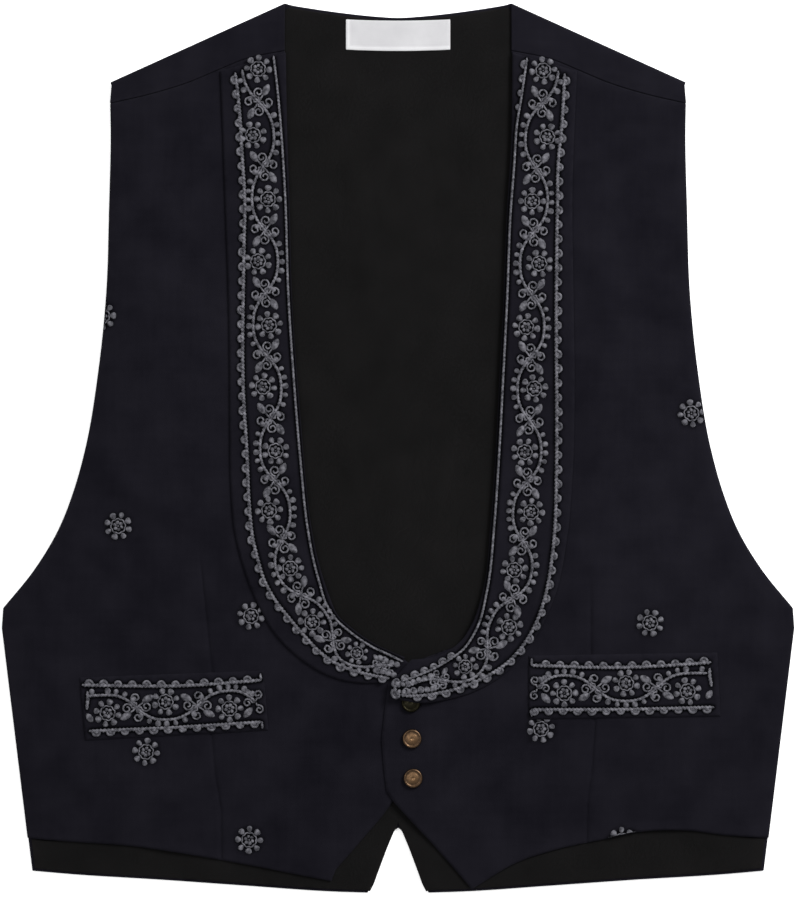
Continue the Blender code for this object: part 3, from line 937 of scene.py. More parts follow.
def add_piece(name, points, faces, finish, slot, uv=None, **marks):
    """Named object from points in mm and faces, riding on the body, with its finish. The record slot is not
    used.

    marks are values at its points, kept under their names for the finish."""
    mesh = bpy.data.meshes.new(name)
    mesh.from_pydata((points * MM).tolist(), [], faces if isinstance(faces, list) else faces.tolist())
    mesh.shade_smooth()
    mesh.materials.append(finish)
    if uv is not None:
        corners = np.zeros(len(mesh.loops), np.int32)
        mesh.loops.foreach_get("vertex_index", corners)
        mesh.uv_layers.new(name="thread").data.foreach_set("uv", uv[corners].astype(np.float32).ravel())
    for mark, values in marks.items():
        mesh.attributes.new(mark, "FLOAT", "POINT").data.foreach_set("value", values.astype(np.float32))
    thing = bpy.data.objects.new(name, mesh)
    bpy.context.scene.collection.objects.link(thing)
    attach(thing, "root")
    return thing


def add_cloth(name, cad_name, low, high, far, faces, finish, slot, shade=None):
    """Closed cloth wall that stands for its node, with the wear of its edges and the painted shade by
    stitches.
    """
    points, quads, rim = wall(low, high, faces)
    near = np.exp(-far / EDGE_WEAR)
    wear = np.concatenate([near, near, np.ones(3 * len(rim))])
    # shade holds the painted shade by stitches, for the finish
    shade = np.zeros(len(low)) if shade is None else shade.ravel()
    shade = np.concatenate([np.zeros(len(low)), shade, np.zeros(3 * len(rim))])
    thing = add_piece(name, points, quads, finish, slot, wear=wear, shade=shade)
    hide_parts(cad_name)
    return thing


# Finishes

def node(tree, kind, inputs=(), **settings):
    """Adds a node with its settings, and with a value or a link in each named input."""
    made = tree.nodes.new(kind)
    for key, value in settings.items():
        setattr(made, key, value)
    for key, value in dict(inputs).items():
        if isinstance(value, bpy.types.NodeSocket):
            tree.links.new(value, made.inputs[key])
        else:
            made.inputs[key].default_value = value
    return made


def calc(tree, operation, first, second=0.0, third=0.0):
    """Result of one Math node."""
    return node(tree, "ShaderNodeMath", {0: first, 1: second, 2: third}, operation=operation).outputs[0]


def noise(tree, place, scale, detail=2.0, stretch=(1.0, 1.0, 1.0)):
    """Noise at a place, stretched along the axes."""
    spread = node(tree, "ShaderNodeMapping", {"Vector": place, "Scale": stretch})
    made = node(tree, "ShaderNodeTexNoise", {"Vector": spread.outputs[0], "Scale": scale, "Detail": detail})
    return made.outputs[0]


def blend(tree, share, first, second):
    """Colour between two, by a share."""
    mix = node(tree, "ShaderNodeMix", data_type="RGBA")
    for index, value in ((0, share), (6, first), (7, second)):
        if isinstance(value, bpy.types.NodeSocket):
            tree.links.new(value, mix.inputs[index])
        else:
            mix.inputs[index].default_value = value if index == 0 else (*value, 1.0)
    return mix.outputs[2]


def ramp(tree, value, low, high, to_low=0.0, to_high=1.0):
    """Value carried from one range to another."""
    keys = {"Value": value, "From Min": low, "From Max": high, "To Min": to_low, "To Max": to_high}
    return node(tree, "ShaderNodeMapRange", keys).outputs[0]


def new_finish(name):
    """New material, its tree, its shader and the object's own coordinates."""
    made = bpy.data.materials.new(name)
    made.use_nodes = True
    tree = made.node_tree
    place = node(tree, "ShaderNodeTexCoord").outputs["Object"]
    return made, tree, tree.nodes["Principled BSDF"], place


def raised(tree, shader, height, distance, strength=1.0):
    """Bump of a height in metres on the shader."""
    bump = node(tree, "ShaderNodeBump", {"Height": height, "Distance": distance, "Strength": strength})
    tree.links.new(bump.outputs[0], shader.inputs["Normal"])


def weave(tree, place, pitch, lean=0.0):
    """Plain weave: the product of two sine waves, one across and one along, a pitch apart.

    lean adds a part of one way to the other, which turns it into a twill."""
    parts = node(tree, "ShaderNodeSeparateXYZ", {0: place})
    turn = 2.0 * math.pi / (pitch * MM)
    x = calc(tree, "MULTIPLY_ADD", parts.outputs[1], lean, parts.outputs[0])
    across = calc(tree, "SINE", calc(tree, "MULTIPLY", x, turn))
    upward = calc(tree, "SINE", calc(tree, "MULTIPLY", parts.outputs[1], turn))
    return calc(tree, "MULTIPLY", across, upward)


def cloth_finish(name, dark, light, worn, pitch, sheen, roughness, specular, lean=0.0):
    """Woven cloth: uneven dye, slubs in both thread ways, a weave in the bump, paler turned edges and painted
    shade between close stitches.
    """
    made, tree, shader, place = new_finish(name)
    broad = ramp(tree, noise(tree, place, 9.0, 3.0), 0.3, 0.7)
    warp = noise(tree, place, 420.0, 2.0, (1.0, 0.07, 1.0))
    weft = noise(tree, place, 420.0, 2.0, (0.07, 1.0, 1.0))
    slub = calc(tree, "ADD", warp, weft)
    threads = weave(tree, place, pitch, lean)
    mottle = ramp(tree, noise(tree, place, 45.0, 4.0), 0.3, 0.7, 0.0, 0.5)
    tone = calc(tree, "MULTIPLY_ADD", broad, 0.3, ramp(tree, slub, 0.75, 1.25, 0.0, 0.16))
    tone = calc(tree, "ADD", tone, mottle)
    colour = blend(tree, tone, dark, light)
    edge = node(tree, "ShaderNodeAttribute", attribute_name="wear").outputs["Fac"]
    edge = calc(tree, "MULTIPLY", edge, ramp(tree, noise(tree, place, 260.0, 3.0), 0.35, 0.75, 0.0, 0.8))
    colour = blend(tree, edge, colour, worn)
    # painted shade: the cloth between close stitches is darkened towards SHADED
    shade = node(tree, "ShaderNodeAttribute", attribute_name="shade").outputs["Fac"]
    tree.links.new(blend(tree, shade, colour, SHADED), shader.inputs["Base Color"])
    tree.links.new(ramp(tree, slub, 0.7, 1.3, roughness - 0.07, roughness + 0.07), shader.inputs["Roughness"])
    shader.inputs["Specular IOR Level"].default_value = specular
    shader.inputs["Sheen Weight"].default_value = sheen
    shader.inputs["Sheen Roughness"].default_value = 0.45
    shader.inputs["Sheen Tint"].default_value = (0.62, 0.64, 0.80, 1.0)
    raised(tree, shader, calc(tree, "MULTIPLY_ADD", slub, 0.9, threads), 0.045 * MM)
    return made


def thread_finish():
    """Embroidery thread: painted light and shade along each twist, two tones of blue grey, a groove between
    strands.
    """
    made, tree, shader, place = new_finish("embroidery_thread")
    thread_uv = node(tree, "ShaderNodeUVMap", uv_map="thread").outputs[0]
    strand = node(tree, "ShaderNodeSeparateXYZ", {0: thread_uv})
    turns = calc(tree, "SINE", calc(tree, "MULTIPLY", strand.outputs[0], 2.0 * math.pi))
    fuzz = noise(tree, place, 900.0, 3.0)
    # painted light and shade: the twist's sine makes each strand's crest lighter and its groove darker, on
    # top of tone that varies at random
    tone = calc(tree, "MULTIPLY_ADD", turns, 0.2, ramp(tree, noise(tree, place, 420.0, 4.0), 0.33, 0.73))
    colour = blend(tree, tone, (0.013, 0.013, 0.018), (0.156, 0.154, 0.175))
    tree.links.new(colour, shader.inputs["Base Color"])
    tree.links.new(ramp(tree, fuzz, 0.3, 0.7, 0.55, 0.75), shader.inputs["Roughness"])
    shader.inputs["Specular IOR Level"].default_value = 0.25
    shader.inputs["Sheen Weight"].default_value = 0.12
    shader.inputs["Sheen Roughness"].default_value = 0.4
    shader.inputs["Sheen Tint"].default_value = (0.8, 0.82, 0.9, 1.0)
    raised(tree, shader, calc(tree, "MULTIPLY_ADD", turns, 0.6, fuzz), 0.07 * MM)
    return made


def brass_finish(name, patina, bright):
    """Antique brass: patina in the hollows and patches, brighter where rubbed, fine scratches."""
    made, tree, shader, place = new_finish(name)
    rubbed = node(tree, "ShaderNodeAttribute", attribute_name="wear").outputs["Fac"]
    patches = ramp(tree, noise(tree, place, 700.0, 4.0), 0.35, 0.68)
    share = calc(tree, "MULTIPLY_ADD", rubbed, 0.75, calc(tree, "MULTIPLY", patches, 0.4))
    colour = blend(tree, share, patina, bright)
    tree.links.new(colour, shader.inputs["Base Color"])
    shader.inputs["Metallic"].default_value = 1.0
    tree.links.new(ramp(tree, patches, 0.0, 1.0, 0.48, 0.32), shader.inputs["Roughness"])
    scratches = noise(tree, place, 900.0, 2.0, (1.0, 0.12, 1.0))
    raised(tree, shader, calc(tree, "ADD", scratches, patches), 0.03 * MM)
    return made


def label_finish():
    """Woven satin ribbon: close ribs across, a soft shine and a slightly warm white."""
    made, tree, shader, place = new_finish("woven_label")
    parts = node(tree, "ShaderNodeSeparateXYZ", {0: place})
    ribs = calc(tree, "SINE", calc(tree, "MULTIPLY", parts.outputs[1], 2.0 * math.pi / (0.42 * MM)))
    yarn = calc(tree, "SINE", calc(tree, "MULTIPLY", parts.outputs[0], 2.0 * math.pi / (0.30 * MM)))
    cloud = noise(tree, place, 60.0, 3.0)
    fold = node(tree, "ShaderNodeAttribute", attribute_name="wear").outputs["Fac"]
    tone = calc(tree, "MULTIPLY_ADD", ribs, 0.10, ramp(tree, cloud, 0.3, 0.7, 0.2, 0.6))
    tone = calc(tree, "MULTIPLY_ADD", fold, 0.5, tone)
    tree.links.new(blend(tree, tone, (0.385, 0.38, 0.395), (0.53, 0.53, 0.54)), shader.inputs["Base Color"])
    tree.links.new(ramp(tree, cloud, 0.3, 0.7, 0.55, 0.7), shader.inputs["Roughness"])
    shader.inputs["Specular IOR Level"].default_value = 0.3
    shader.inputs["Sheen Weight"].default_value = 0.08
    raised(tree, shader, calc(tree, "MULTIPLY_ADD", yarn, 0.4, ribs), 0.03 * MM)
    return made


def floor_finish():
    """Plain pale paper on a faintly lit table."""
    made, tree, shader, place = new_finish("pale_floor")
    grain = ramp(tree, noise(tree, place, 40.0, 3.0), 0.3, 0.7)
    tree.links.new(blend(tree, grain, (0.90, 0.90, 0.90), (0.93, 0.93, 0.93)), shader.inputs["Base Color"])
    shader.inputs["Roughness"].default_value = 0.9
    shader.inputs["Specular IOR Level"].default_value = 0.1
    shader.inputs["Emission Color"].default_value = (1.0, 1.0, 1.0, 1.0)
    shader.inputs["Emission Strength"].default_value = TABLE_GLOW
    return made


shell_finish = cloth_finish(
    "navy_shell",
    dark=(0.0040, 0.0037, 0.0059),
    light=(0.0095, 0.0089, 0.0126),
    worn=(0.0098, 0.0092, 0.0130),
    pitch=0.52,
    sheen=0.02,
    roughness=0.85,
    specular=0.02,
)
lining_finish = cloth_finish(
    "black_lining",
    dark=(0.0035, 0.0034, 0.0034),
    light=(0.0066, 0.0062, 0.0063),
    worn=(0.008, 0.007, 0.007),
    pitch=0.34,
    sheen=0.01,
    roughness=0.6,
    specular=0.03,
    lean=0.5,
)
stitch_finish = thread_finish()
metal_finish = brass_finish("antique_brass", (0.019, 0.014, 0.012), (0.178, 0.105, 0.055))
# painted shade: the top cap lies under the collar, so it gets a much darker brass than the other caps
collar_shaded_finish = brass_finish("collar_shaded_brass", (0.005, 0.0045, 0.0024), (0.021, 0.019, 0.012))
ribbon_finish = label_finish()


# Back and lining

def neck_edge(out, below=0.0):
    """Height of the back neck edge: a power of the distance from the middle line."""
    low = NECK_POINT[1] - NECK_DIP
    return low + NECK_DIP * (np.abs(out) / NECK_POINT[0]) ** NECK_POWER - below


def outer_edge(bottom, top):
    """Side seam and armhole between two ends, with the underarm corner."""
    return joined([bottom, SIDE_TOP], smooth(ARMHOLE)[::-1], [top])


def shoulder_line():
    """Where the back's wall starts to turn over: the fold's outline moved in by the turn's radius."""
    ends = np.array([NECK_POINT, SHOULDER_TIP])
    onward = (ends[1] - ends[0]) / np.linalg.norm(ends[1] - ends[0])
    inward = np.array([onward[1], -onward[0]])
    radius = (FRONT_LEVEL + SHELL) / 2
    return ends + radius * inward, inward, radius


def seam_groove(plan):
    """Seams of the back's outer face: one on the middle line and a dart on each side."""
    out, up = plan[..., 0], plan[..., 1]
    middle = np.exp(-((out / BACK_SEAM_WIDTH) ** 2)) * step_up(up, VENT_TOP[1], VENT_TOP[1] + BACK_SEAM_FADE)
    off = out - BACK_DART_AT[0] - BACK_DART_LEAN * (up - BACK_DART_AT[1])
    dart = np.exp(-((off / BACK_DART_WIDTH) ** 2)) * step_up(up, *BACK_DART_FADE)
    return BACK_SEAM_DEPTH * middle + BACK_DART_DEPTH * dart


def half_back(side):
    """Half of the back: a patch, with its shoulder carried round a half circle and down to the seam."""
    start_line, inward, radius = shoulder_line()
    onward = np.array([-inward[1], inward[0]])
    start_line[0] -= NECK_TURN * onward
    neck_out = np.concatenate([FINE_STEPS[:-1], np.linspace(FINE_STEPS[-1], start_line[0][0], 20)])
    neck = np.stack([neck_out, neck_edge(neck_out)], axis=1)
    neck[-1] = start_line[0]
    reach = edged(*BACK_SHOULDER)[:, None]
    shoulder = start_line[0] + reach * (start_line[1] - start_line[0])
    top = joined(neck, shoulder[1:])
    u = runs(top) / runs(top)[-1]
    v = edged(*BACK_UP)
    inner = joined(VENT, [VENT_TOP, (0.0, neck[0][1])])
    outer = outer_edge(SIDE_BACK_HEM, start_line[1])
    plan = patch(
        with_corners(inner, v, [VENT_TOP]),
        with_corners(outer, v, [SIDE_TOP, ARMHOLE[-1]]),
        smooth(BACK_HEM),
        top,
        u,
        v,
    )
    far = edge_distance(plan, plan[:, 0, 1] < VENT_TOP[1])
    at_shoulder = (np.arange(len(v))[:, None] > len(v) // 2) & (plan[..., 0] > start_line[0][0])
    far = np.where(at_shoulder, NO_EDGE, far)
    far = np.minimum(far, np.linalg.norm(plan - plan[:, -1:], axis=-1))
    turn = turn_depth(far)
    low = placed(plan, 0.4 * turn + seam_groove(plan), side)
    high = placed(plan, SHELL - 0.6 * turn, side)
    faces = grid_faces(*plan.shape[:2])

    seam = at_shares(shifted(smooth(SHOULDER_SEAM), -SEAM_SET_BACK), reach[:, 0])
    low_rows, high_rows, far_rows = [], [], []
    for angle in np.linspace(0.0, math.pi, 15)[1:]:
        slid = shoulder + NECK_TURN * math.sin(angle / 2) * (1.0 - reach) ** 2 * onward
        for rows, reach_in in ((low_rows, radius), (high_rows, radius - SHELL)):
            ring = slid - reach_in * math.sin(angle) * inward
            rows.append(placed(ring, radius - reach_in * math.cos(angle), side))
        far_rows.append(np.full(len(shoulder), FOLD_FAR))
    for share in STRIP_SHARES:
        strip = slid + share * (seam - slid)
        left = (1.0 - share) * np.linalg.norm(seam - slid, axis=1)
        swell = STRIP_SWELL * np.exp(-(((left - STRIP_SWELL_AT) / STRIP_SWELL_HALF) ** 2))
        lift = swell + ripples(STRIP_RIPPLES, strip[:, 0], strip[:, 1], base=1.0)
        low_rows.append(placed(strip, 2 * radius + lift - SEAM_TURN * turn_depth(left), side))
        high_rows.append(placed(strip, 2 * radius - SHELL, side))
        far_rows.append(left)
    first = (len(v) - 1) * len(top) + len(neck) - 1
    index = len(low) + np.arange(len(low_rows) * len(shoulder)).reshape(len(low_rows), -1)
    index = np.vstack([[first + np.arange(len(shoulder))], index])
    faces = np.vstack([faces, quads_between(index)])
    far = np.concatenate([far.ravel()] + far_rows)
    return np.vstack([low] + low_rows), np.vstack([high] + high_rows), far, turned(faces, side)


def both_halves(half):
    """A sheet from the right and the left half, welded on the middle line."""
    low, high, far, faces = half(RIGHT)
    low_left, high_left, far_left, faces_left = half(LEFT)
    return welded(
        np.vstack([low, low_left]),
        np.vstack([high, high_left]),
        np.concatenate([far, far_left]),
        np.vstack([faces, faces_left + len(low)]),
    )


def lining_height(side, plan):
    """Creases of the lining inside the neck opening, none under the fronts or the label."""
    x, y = side * plan[..., 0], plan[..., 1]
    total = ripples(LINING_RIPPLES, x, y, base=1.0)
    for start_point, end_point, half, height in LINING_CREASES:
        total = total + ridge(x, y, start_point, end_point, half, height)
    inside = step_up(np.abs(x), *LINING_CREASES_ACROSS) * step_up(y, *LINING_CREASES_ABOVE)
    return total * (inside * step_up(y, *LINING_CREASES_BELOW))


def lining_corner(side):
    """Ends of the lining's edge along the front's hem: near the side seam, and under the front."""
    hem = smooth(HEM[side])
    out = np.array([SIDE_FRONT_HEM[0] - LINING_CORNER_IN, SIDE_FRONT_HEM[0] - LINING_SIDE_IN])
    return np.stack([out, np.interp(out, hem[:, 0], hem[:, 1]) - LINING_UNDER_HEM], axis=1)


def half_lining(side):
    """Half of the lining: a patch, wide below the front's hem and inside the side seam above it."""
    start_line, inward, _ = shoulder_line()
    start_line = start_line + LINING_FOLD_IN * inward
    neck_out = np.concatenate([[0.0], np.linspace(2.0, start_line[0][0], 28)])
    neck = np.stack([neck_out, neck_edge(neck_out, LINING_IN)], axis=1)
    neck[-1] = start_line[0] - [0.0, LINING_IN]
    end = start_line[1] - [LINING_SIDE_IN, -LINING_SIDE_DOWN]
    shoulder = neck[-1] + np.linspace(0.0, 1.0, 16)[:, None] * (end - neck[-1])
    top = joined(neck, shoulder[1:])
    u = runs(top) / runs(top)[-1]
    v = edged(*LINING_UP)
    vent = shifted(joined(VENT), -LINING_IN) + [0.0, LINING_IN]
    vent_top = (0.0, VENT_TOP[1] + 2 * LINING_IN)
    inner = joined(vent, [vent_top, (0.0, neck[0][1])])
    outer = outer_edge(SIDE_FRONT_HEM, SHOULDER_TIP)[1:] - [LINING_SIDE_IN, LINING_IN]
    outer[-1] = end
    corner = lining_corner(side)
    outer = joined([np.array(SIDE_BACK_HEM) + [-LINING_IN, LINING_IN]], corner, outer)
    hem = smooth(BACK_HEM) + [0.0, LINING_IN]
    hem[0] = vent[0]
    hem[-1] = outer[0]
    plan = patch(with_corners(inner, v, [vent_top]), with_corners(outer, v, corner), hem, top, u, v)
    far = edge_distance(plan, plan[:, 0, 1] < vent_top[1])
    lift = lining_height(side, plan)
    low = placed(plan, LINING_LEVEL + lift, side)
    high = placed(plan, LINING_LEVEL + LINING + lift - 0.5 * turn_depth(far), side)
    return low, high, far.ravel(), turned(grid_faces(*plan.shape[:2]), side)


back = add_cloth("back_cloth", "back", *both_halves(half_back), shell_finish, "shell")
lining = add_cloth("back_lining_cloth", "back_lining", *both_halves(half_lining), lining_finish, "lining")


# Fronts

def front_outlines(side):
    """Inner edge, outer edge, hem and shoulder seam of a front."""
    seam = shifted(smooth(SHOULDER_SEAM), EDGE_ROUND)
    under = shifted(smooth(COLLAR_INNER[side]), EDGE_UNDER_COLLAR)
    under[-1] = seam[0]
    return joined(EDGE[side], under), outer_edge(SIDE_FRONT_HEM, seam[-1]), smooth(HEM[side]), seam


def make_front(name, side, shade):
    """Front: a patch whose columns close up along the dart, with folds, creases and turned edges."""
    inner, outer, hem, seam = front_outlines(side)
    v = edged(*FRONT_UP)
    left = with_corners(inner, v, [EDGE[side][0], EDGE[side][-1]])
    right = with_corners(outer, v, [SIDE_TOP, ARMHOLE[-1]])
    trial_u = np.linspace(0.0, 1.0, 160)
    trial = patch(left, right, hem, seam, trial_u, v)
    past = trial[..., 0] - dart_out(side, trial[..., 1])
    after = np.argmax(past > 0.0, axis=1)
    rows = np.arange(len(v))
    share = past[rows, after] / (past[rows, after] - past[rows, after - 1])
    dart_u = (trial_u[after] - share * trial_u[1])[:, None]
    u_to_dart = dart_u * edged(*FRONT_TO_DART)[None, :-1]
    u = np.hstack([u_to_dart, dart_u + (1.0 - dart_u) * edged(*FRONT_PAST_DART)[None]])
    plan = patch(left, right, hem, seam, u, v)
    roll = np.clip((u - ROLL_FROM) / (1.0 - ROLL_FROM), 0.0, 1.0) * step_up(v, 1.0, ROLL_END)[:, None]
    under = front_underside(side, plan) - SIDE_DROP * roll
    far = edge_distance(plan)
    facing = FACING_DEPTH * np.exp(-(((far - FACING_AT) / FACING_WIDTH) ** 2))
    near_seam = np.exp(-((np.linalg.norm(plan - plan[-1:], axis=-1) / TURN_REACH) ** 2))
    turn = turn_depth(far) * (SOFT_TURN - (SOFT_TURN - SEAM_TURN) * near_seam)
    over = under + np.maximum(FRONT - turn - dart_depth(side, plan) - facing, THINNEST)
    faces = turned(grid_faces(*plan.shape[:2]), side)
    low, high = placed(plan, under + 0.25 * turn_depth(far), side), placed(plan, over, side)
    return add_cloth(name + "_cloth", name, low, high, far.ravel(), faces, shell_finish, "shell", shade(plan))


# Collars and welts

def button_rise(side, plan):
    """Rise of the left collar's tip where it rests on the top cap."""
    if side == RIGHT:
        return 0.0 * plan[..., 0]
    far = np.linalg.norm(plan - np.array(CAPS["button_top"]), axis=-1)
    return BUTTON_RISE * (1.0 - step_up(far, *BUTTON_RISE_ACROSS))


def pucker(plan):
    """Small dents that close stitching draws into a band."""
    return ripples(BAND_RIPPLES, plan[..., 0], plan[..., 1])


def collar_underside(side, plan):
    """Lower face of a collar: the front's face, the gap and the rise over the top cap."""
    return front_face(side, plan) + GAP + button_rise(side, plan)


def collar_face(side, plan, share):
    """Upper face of a collar: its wall with a crown of one less the fourth power of the share across."""
    return collar_underside(side, plan) + COLLAR_EDGE + COLLAR_CROWN * (1.0 - share**4) + pucker(plan)


def make_collar(name, side, shade):
    """Collar band: a patch from the crossing to the shoulder seam, crowned across."""
    inner, outer = smooth(COLLAR_INNER[side]), smooth(COLLAR_OUTER[side])
    tip = smooth(COLLAR_TIP[side]) if len(COLLAR_TIP[side]) > 2 else np.array(COLLAR_TIP[side], float)
    top = np.stack([inner[-1], outer[-1]])
    u, v = edged(*COLLAR_ACROSS), edged(*COLLAR_ALONG)
    plan = patch(at_shares(inner, v), at_shares(outer, v), tip, top, u, v)
    far = edge_distance(plan)
    under = collar_underside(side, plan)
    # near is the painted shade by the stitches, which also sinks the cloth
    near = shade(plan)
    over = collar_face(side, plan, 2.0 * u[None] - 1.0) - turn_depth(far) - SHADE_SINK * near
    faces = turned(grid_faces(*plan.shape[:2]), side)
    low, high = placed(plan, under, side), placed(plan, over, side)
    return add_cloth(name + "_cloth", name, low, high, far.ravel(), faces, shell_finish, "shell", near)


def welt_face(side, plan):
    """Upper face of a welt: its wall with a crown of one less the fourth power of the share across."""
    low_in, high_in, low_out, high_out = WELT[side]
    low = low_in[1] + (plan[..., 0] - low_in[0]) * (low_out[1] - low_in[1]) / (low_out[0] - low_in[0])
    high = high_in[1] + (plan[..., 0] - high_in[0]) * (high_out[1] - high_in[1]) / (high_out[0] - high_in[0])
    share = np.clip(2.0 * (plan[..., 1] - low) / (high - low) - 1.0, -1.0, 1.0)
    return front_face(side, plan) + GAP + WELT_EDGE + WELT_CROWN * (1.0 - share**4) + pucker(plan)


def make_welt(name, side, shade):
    """Pocket welt: a straight-sided band between its four corners, crowned across, its edges settled."""
    low_in, high_in, low_out, high_out = (np.array(corner, float) for corner in WELT[side])
    u, v = edged(*WELT_ALONG)[None, :, None], edged(*WELT_ACROSS)[:, None, None]
    plan = (1 - v) * (low_in + u * (low_out - low_in)) + v * (high_in + u * (high_out - high_in))
    far = edge_distance(plan)
    settle = WELT_SETTLE * np.exp(-((far / TURN_REACH) ** 2))
    low = placed(plan, front_face(side, plan) + GAP - settle, side)
    # near is the painted shade by the stitches, which also sinks the cloth
    near = shade(plan)
    over = welt_face(side, plan) - SOFT_TURN * turn_depth(far) - settle - SHADE_SINK * near
    high = placed(plan, over, side)
    faces = turned(grid_faces(*plan.shape[:2]), side)
    return add_cloth(name + "_cloth", name, low, high, far.ravel(), faces, shell_finish, "shell", near)


# Label

def make_label():
    """Bare ribbon: its long edges bow with the neck, its lower and one short edge are folded under."""
    across = (2.0 * edged(*LABEL_ACROSS) - 1.0)[None] * LABEL_HALF
    down = 1.0 - edged(*LABEL_DOWN)[:, None]
    bow = LABEL_DIP * (across / LABEL_HALF) ** 2
    up = NECK_POINT[1] - NECK_DIP - LABEL_BELOW - LABEL_HEIGHT * down + bow
    plan = np.stack([across + 0.0 * down, up], axis=-1)
    far = edge_distance(plan)
    level = LINING_LEVEL + LINING + GAP + ripples(LABEL_RIPPLES, plan[..., 0], plan[..., 1], base=1.0)
    fold = np.maximum(
        step_up(across + LABEL_HALF, LABEL_FOLD + 0.4, LABEL_FOLD),
        step_up((1.0 - down) * LABEL_HEIGHT, LABEL_FOLD + 0.4, LABEL_FOLD),
    )
    low = placed(plan, level, LEFT)
    high = placed(plan, level + LABEL + LABEL_FOLD_RISE * fold - 0.25 * turn_depth(far), LEFT)
    points, quads, rim = wall(low, high, grid_faces(*plan.shape[:2]))
    wear = np.concatenate([fold.ravel(), fold.ravel(), np.ones(3 * len(rim))])
    thing = add_piece("label_ribbon", points, quads, ribbon_finish, "label", wear=wear)
    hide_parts("label")
    return thing


label = make_label()


# Caps

def make_cap(name, place):
    """Turned cap: the smoothed profile carried round, with a sunk ring and a dimple."""
    level = front_face(LEFT, np.array(place, float)[None])[0] + GAP
    profile = smooth(CAP, CAP_STEPS)
    inner = np.clip(1.1 - profile[:, 0] / CAP_RUBBED, 0.0, 1.0)
    rubbed = inner * np.clip((profile[:, 1] - CAP_RUBBED_FROM) / CAP_RUBBED_OVER, 0.0, 1.0)
    turn = np.arange(CAP_SIDES) * 2.0 * math.pi / CAP_SIDES
    radius, height = profile[:, :1], profile[:, 1:]
    wobble = 1.0 + CAP_WOBBLE * np.cos(2.0 * turn + place[1])
    x = place[0] + radius * wobble * np.cos(turn)
    y = place[1] + radius * wobble * np.sin(turn)
    rings = np.stack([x, y, level + height + 0 * turn], axis=-1)
    count = len(profile) * CAP_SIDES
    points = np.vstack([rings.reshape(-1, 3), [[*place, level]], [[*place, level + CAP_DIMPLE]]])
    index = np.arange(count).reshape(len(profile), CAP_SIDES)
    after = np.roll(index, -1, axis=1)
    sides = np.stack([index[:-1], after[:-1], after[1:], index[1:]], axis=-1).reshape(-1, 4)
    foot = np.stack([np.full(CAP_SIDES, count), after[0], index[0]], axis=1)
    crown = np.stack([index[-1], after[-1], np.full(CAP_SIDES, count + 1)], axis=1)
    wear = np.concatenate([np.repeat(rubbed, CAP_SIDES), [0.0, 1.0]])
    # the top cap takes the darker brass, which paints the collar's shade on it
    finish = collar_shaded_finish if name == "button_top" else metal_finish
    faces = sides.tolist() + foot.tolist() + crown.tolist()
    thing = add_piece(name + "_cap", points, faces, finish, "brass", wear=wear)
    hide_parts(name)
    return thing


caps = [make_cap(name, place) for name, place in CAPS.items()]


# Stitches: each maker returns plan points, heights, thread coordinates, quads and triangles

def rays(angle):
    """Unit vectors at the angles."""
    return np.stack([np.cos(angle), np.sin(angle)], axis=-1)


def as_columns(count, *values):
    """Each value as a column of the given length."""
    return [np.broadcast_to(np.asarray(value, float), count)[:, None] for value in values]


def domes(centre, angle, length, width, height, taper=0.0, point=0.0):
    """Satin shapes: an ellipse turned by the angle, domed, wider at its far end by taper, and drawn
    to points by a power of the sine."""
    centre = np.asarray(centre, float).reshape(-1, 2)
    count = len(centre)
    angle, length, width, height = as_columns(count, angle, length, width, height)
    sides = DOME_SIDES
    turn = np.arange(sides) * 2.0 * math.pi / sides
    x = np.concatenate([[0.0], np.outer(DOME_RING, np.cos(turn)).ravel(), [0.0]])
    bulge = np.sin(turn) * np.abs(np.sin(turn)) ** point * (1.0 + taper * np.cos(turn))
    y = np.concatenate([[0.0], np.outer(DOME_RING, bulge).ravel(), [0.0]])
    h = np.concatenate([[1.0], np.repeat(DOME_RISE, sides), [0.0]]) * height
    h[:, -1] = -FOOT
    h[:, -1 - sides : -1] = -SKIRT
    lx, ly = x * length / 2, y * width / 2
    px = centre[:, :1] + lx * np.cos(angle) - ly * np.sin(angle)
    py = centre[:, 1:] + lx * np.sin(angle) + ly * np.cos(angle)
    step = np.arange(count)[:, None, None] * len(x)
    index = 1 + np.arange(len(DOME_RING) * sides).reshape(len(DOME_RING), sides)
    after = np.roll(index, -1, axis=1)
    quads = np.stack([index[:-1], index[1:], after[1:], after[:-1]], axis=-1).reshape(-1, 4)
    peak = np.stack([np.zeros(sides, int), index[0], after[0]], axis=1)
    base = np.stack([np.full(sides, len(x) - 1), after[-1], index[-1]], axis=1)
    return (
        np.stack([px, py], axis=-1).reshape(-1, 2),
        h.ravel(),
        np.stack([lx / THREAD, ly / THREAD], axis=-1).reshape(-1, 2),
        (quads[None] + step).reshape(-1, 4),
        (np.vstack([peak, base])[None] + step).reshape(-1, 3),
    )


